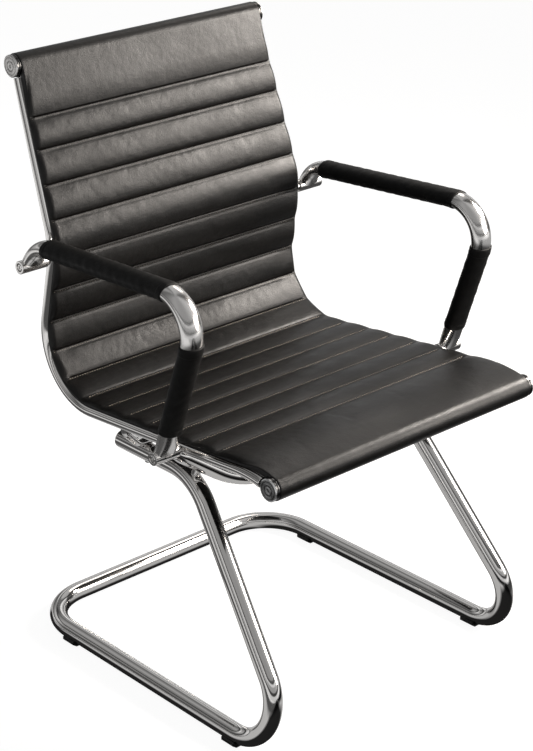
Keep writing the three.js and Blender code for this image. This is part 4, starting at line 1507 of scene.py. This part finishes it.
def sleeve_shape(start, end, hems):
    length = end - start
    angle = np.linspace(0, 2 * pi, sleeve_sides, endpoint=False)
    stations = [close_rows, np.arange(2, length - 2, sleeve_step), length - close_rows]
    for hem_start, hem_end in hems:
        stations += [hem_start + hem_rows, hem_end + hem_rows]
    stations = np.concatenate(stations)
    stations = np.unique(stations[(stations >= 0) & (stations <= length)].round(3))
    rings = []
    for distance in stations:
        fall = edge_fall(np.minimum(distance, length - distance))
        grow = seat_gap + sleeve_thickness - fall + girth_wave(distance, angle, length)
        for hem_start, hem_end in hems:
            opened = ease(distance, hem_start - hem_step, hem_start + hem_step)
            closed = ease(-distance, -hem_end - hem_step, -hem_end + hem_step)
            grow = grow + hem_height * (opened * closed)
        rings.append(sleeve_ring(start + distance, grow))
    rings += [sleeve_ring(start + distance, seat_gap) for distance in stations[::-2]]
    return loft(rings, closed_round=True), length


top_sleeve, top_length = sleeve_shape(
    crossing(1, top_sleeve_y[0], -1),
    crossing(1, top_sleeve_y[1], -1),
    [(-5, 8), (top_sleeve_y[1] - top_sleeve_y[0] - 8, 400)],
)
front_sleeve, front_length = sleeve_shape(
    crossing(2, front_sleeve_z[0], 0),
    crossing(2, front_sleeve_z[1], 0),
    [(-5, 9), (front_sleeve_z[1] - front_sleeve_z[0] - 4, 400)],
)
both_hands("arm_top_sleeve", top_sleeve, sleeve_leather, "sleeve_leather")
both_hands("arm_front_sleeve", front_sleeve, sleeve_leather, "sleeve_leather")
print("sleeves:", round(top_length), "and", round(front_length), "mm long")

# %% [markdown]
# Three stretchers keep the rails apart. The front one under the seat is an arched tube whose
# ends taper into the rails, the rear one is a flat bar with bent ends, and the one behind the
# back bows away from it. Each is drawn in the plane of its bends, from half its corners.

# %% Stretchers
stretcher_half_width = 7
stretcher_half_height = 5.5
stretcher_neck_radius = 12
stretcher_taper = 30
stretcher_sides = 44
bow_radius = 11
bow_neck_scale = 0.62
front_bar_y = -12
front_bar_neck = 13
front_bar_drop = 105.9
front_bar_share = 0.475
front_bar_bend = 216
back_bow = {"neck": 14, "slope": 20, "radius": 560}
rear_bar_y = 100
rear_bar_neck = 12
rear_bar_shoulder = 20
rear_bar_bend = 20
sled_radius = 14
sled_run_half = 203
sled_run_z = 362


def stretcher_path(place, half_corners, radii, drop_way):
    y, z, _ = (float(v) for v in profile_at(place))
    corners = [vec(-x, y, z) + drop_way * drop for x, drop in half_corners]
    corners += [vec(x, y, z) + drop_way * drop for x, drop in reversed(half_corners) if x > 0]
    return bent_path(corners, radii)


def finer(points, ways, longest=4):
    new_points, new_ways = [points[0]], [ways[0]]
    for before, after, way_before, way_after in zip(points, points[1:], ways, ways[1:]):
        steps = int(np.ceil(np.linalg.norm(after - before) / longest))
        for share in np.arange(1, steps + 1) / max(steps, 1):
            new_points.append(before + (after - before) * share)
            new_ways.append(unit(way_before + (way_after - way_before) * share))
    return new_points, new_ways


def stretcher_shape(bar, drop_way, half_width, half_height, neck_scale=1.0):
    width_way = np.cross(vec(1, 0, 0), drop_way)
    first, last = bar[0][0], bar[0][-1]
    rings = []
    for point, way in zip(*finer(*bar)):
        from_end = min(np.linalg.norm(point - first), np.linalg.norm(point - last))
        scale = neck_scale + (1 - neck_scale) * float(ease(from_end, 0, stretcher_taper))
        height_way = np.cross(way, width_way)
        wide, high = half_width * scale, half_height * scale
        rings.append(cross_ring(point, width_way, height_way, wide, high, stretcher_sides))
    return loft(rings)


def bow_path(place, bow, drop_way):
    half = float(rail_half(place))
    corners = [(half, 0), (half, bow["neck"]), (0, bow["neck"] + half * tan(radians(bow["slope"])))]
    radii = [stretcher_neck_radius, bow["radius"], stretcher_neck_radius]
    return stretcher_path(place, corners, radii, drop_way)


down, rearward = vec(0, 0, -1), vec(0, 1, 0)
front_bar_place = seat_place(front_bar_y)
front_half = float(rail_half(front_bar_place))
front_bar = stretcher_path(
    front_bar_place,
    [(front_half, 0), (front_half, front_bar_neck), (front_half * front_bar_share, front_bar_drop)],
    [stretcher_neck_radius, front_bar_bend, front_bar_bend, stretcher_neck_radius],
    down,
)
back_bar = bow_path(back_tee_place, back_bow, rearward)
rear_bar_place = seat_place(rear_bar_y)
rear_bar_half = float(rail_half(rear_bar_place))
rear_bar_z = sled_run_z + sled_radius + seat_gap + stretcher_half_height
rear_bar_drop = float(profile_at(rear_bar_place)[1]) - rear_bar_z
rear_bar_end = sled_run_half + rear_bar_shoulder
rear_bar = stretcher_path(
    rear_bar_place,
    [(rear_bar_half, 0), (rear_bar_half, rear_bar_neck), (rear_bar_end, rear_bar_drop)],
    [stretcher_neck_radius, rear_bar_bend, rear_bar_bend, stretcher_neck_radius],
    down,
)
flat_section = (stretcher_half_width, stretcher_half_height)
for kind, bar, way, section in (
    ("front_seat_stretcher", front_bar, down, (bow_radius, bow_radius, bow_neck_scale)),
    ("rear_seat_stretcher", rear_bar, down, flat_section),
    ("back_stretcher", back_bar, rearward, flat_section),
):
    mesh = make_mesh(f"{kind}_skin", stretcher_shape(bar, way, *section))
    add_piece(f"{kind}_skin", mesh, bright_chrome, "chrome", kind)
    print(kind, len(mesh.polygons), "faces")

# %% [markdown]
# The sled is a single tube, bent six times on its way from the right seat run to the left
# one. It is hollow, with a turned plug in each end, so its skin goes down the outside and back
# up the bore as one loop of rings.

# %% Sled tube and plugs
sled_wall = 1.8
glide_thickness = 2.5
sled_front_half = 250.2
sled_rear_half = 247.5
sled_front_y = -280
sled_rear_y = 336
sled_knee_y = -3
sled_run_end_y = 160
sled_radii = [95, 68, 86]
sled_floor_z = 18.5
plug_thickness = 2.5
plug_spigot = 12

sled_half_route = [
    vec(sled_run_half, sled_run_end_y, sled_run_z),
    vec(sled_run_half, sled_knee_y, sled_run_z),
    vec(sled_front_half, sled_front_y, sled_floor_z),
    vec(sled_rear_half, sled_rear_y, sled_floor_z),
]
sled_route = [p * vec(-1, 1, 1) for p in sled_half_route] + sled_half_route[::-1]
sled_points, sled_ways = bent_path(sled_route, sled_radii + sled_radii[::-1])
outer_rings = carried_rings(sled_points, sled_ways, sled_radius, 56)
inner_rings = carried_rings(sled_points, sled_ways, sled_radius - sled_wall, 56)
sled_shape = loft(outer_rings + inner_rings[::-1], closed_round=True)
sled_mesh = make_mesh("sled_tube_skin", sled_shape)
add_piece("sled_tube_skin", sled_mesh, bright_chrome, "chrome", "sled_tube")

plug_outline = [
    (-plug_spigot, 0),
    (-plug_spigot, sled_radius - sled_wall - seat_gap),
    (0, sled_radius - sled_wall - seat_gap),
    (0, sled_radius),
    (plug_thickness, sled_radius - 0.4),
    (plug_thickness, 0),
]
plug_seat = (sled_run_half, sled_run_end_y + seat_gap, sled_run_z)
plug_shape = turned(rounded(plug_outline, 0.9), plug_seat, (0, 1, 0), 56)
both_hands("sled_plug", plug_shape, bright_chrome, "chrome")
print("sled:", len(sled_mesh.polygons), "faces")

# %% [markdown]
# Where the sled meets the seat, short posts stand on its upper bends and carry the arched
# stretcher, and domed bolts hold each joint from below.

# %% Posts and bolts
post_radius = 7
mount_bolt_radius = 6.5
mount_bolt_height = 1.5
post_sink = 4
mount_bolt_sink = 2.5
mount_socket_radius = 2.6
mount_socket_floor = mount_bolt_height - 1.2


def on_bar(points, x):
    ordered = points[np.argsort(points[:, 0])]
    return vec(*[np.interp(x, ordered[:, 0], ordered[:, axis]) for axis in range(3)])


front_high = on_bar(front_bar[0], sled_run_half)
knee_in = unit(sled_half_route[1] - sled_half_route[0])
knee_out = unit(sled_half_route[2] - sled_half_route[1])
knee_turn = np.arccos(knee_in @ knee_out)
knee_start = sled_half_route[1] - knee_in * sled_radii[0] * tan(knee_turn / 2)
knee_centre = vec(front_high[0], knee_start[1], sled_run_z - sled_radii[0])
post_way = unit(front_high - knee_centre)
front_low = knee_centre + post_way * sled_radii[0]
rear_high = on_bar(rear_bar[0], sled_run_half)
rear_low = vec(rear_high[0], rear_high[1], sled_run_z)

post_length = float(np.linalg.norm(front_high - front_low)) - sled_radius + post_sink
post_shape = turned(
    [(0, 0), (0, post_radius), (post_length, post_radius), (post_length, 0)],
    front_low + post_way * (sled_radius - post_sink),
    post_way,
    48,
)
both_hands("sled_post", post_shape, bright_chrome, "chrome")

mount_bolt_outline = [
    (-mount_bolt_sink, 0),
    (-mount_bolt_sink, mount_bolt_radius),
    (mount_bolt_height * 0.5, mount_bolt_radius),
    (mount_bolt_height, mount_bolt_radius * 0.75),
    (mount_bolt_height, mount_socket_radius),
    (mount_socket_floor, mount_socket_radius),
    (mount_socket_floor, 0),
]
for kind, low, high in (("front", front_low, front_high), ("rear", rear_low, rear_high)):
    way = unit(low - high)
    seat = low + way * (sled_radius + seat_gap)
    shape = turned(rounded(mount_bolt_outline, 0.6), seat, way, 48)
    both_hands(f"{kind}_sled_bolt", shape, bright_chrome, "chrome")

# %% [markdown]
# The floor glides are black saddles clipped under the runners. Each is one outline, round
# inside where it holds the tube and flat below where it meets the floor, pushed along the
# runner, with its edges bevelled as a mould leaves them.

# %% Floor glides
glide_length = 26
glide_wall = 2.4
glide_pad_half = 8.5
glide_wrap = radians(66)
glide_places = {"front": -137, "rear": 236}
glide_bevel = {"offset": 0.5 * MM, "segments": 3, "profile": 0.6}
glide_sharp = radians(30)
glide_crease = radians(50)


def glide_outline():
    inner = sled_radius + seat_gap
    outer = inner + glide_wall
    hug = np.linspace(-pi / 2 + glide_wrap, -pi / 2 - glide_wrap, 29)
    arc = [(inner * cos(a), inner * sin(a)) for a in hug]
    lip = [(outer * cos(hug[0]), outer * sin(hug[0]))]
    far_lip = [(outer * cos(hug[-1]), outer * sin(hug[-1]))]
    shoulder_z = -sled_radius + glide_wall
    shoulder_x = outer * sin(glide_wrap)
    low = -sled_radius - glide_thickness
    far_side = [(-shoulder_x, shoulder_z), (-glide_pad_half, low)]
    near_side = [(glide_pad_half, low), (shoulder_x, shoulder_z)]
    return lip + arc + far_lip + far_side + near_side


def glide_shape(y):
    share = (y - sled_front_y) / (sled_rear_y - sled_front_y)
    half = sled_front_half + (sled_rear_half - sled_front_half) * share
    way = unit(sled_half_route[3] - sled_half_route[2])
    across = unit(np.cross(way, vec(0, 0, 1)))
    centre = vec(half, y, sled_floor_z)
    flat = glide_outline()
    rings = []
    for place in (-glide_length / 2, glide_length / 2):
        rings.append([centre + way * place + across * a + vec(0, 0, b) for a, b in flat])
    return loft(rings)


def bevel_glide(mesh):
    skin = bmesh.new()
    skin.from_mesh(mesh)
    sharp = [edge for edge in skin.edges if edge.calc_face_angle(0) > glide_sharp]
    bmesh.ops.bevel(skin, geom=sharp, affect="EDGES", clamp_overlap=True, **glide_bevel)
    skin.to_mesh(mesh)
    skin.free()
    mesh.shade_smooth()
    mesh.set_sharp_from_angle(angle=glide_crease)


for kind, y in glide_places.items():
    both_hands(f"{kind}_glide", glide_shape(y), glide_plastic, "glide_plastic", bevel_glide)

# %% [markdown]
# The two cross tubes stay as the frame has them, because the leather hides them.

# %% Cross tubes
for node in ("front_cross_tube", "top_cross_tube"):
    tube = frame["nodes"][node]
    tube.data.materials.clear()
    tube.data.materials.append(bright_chrome)
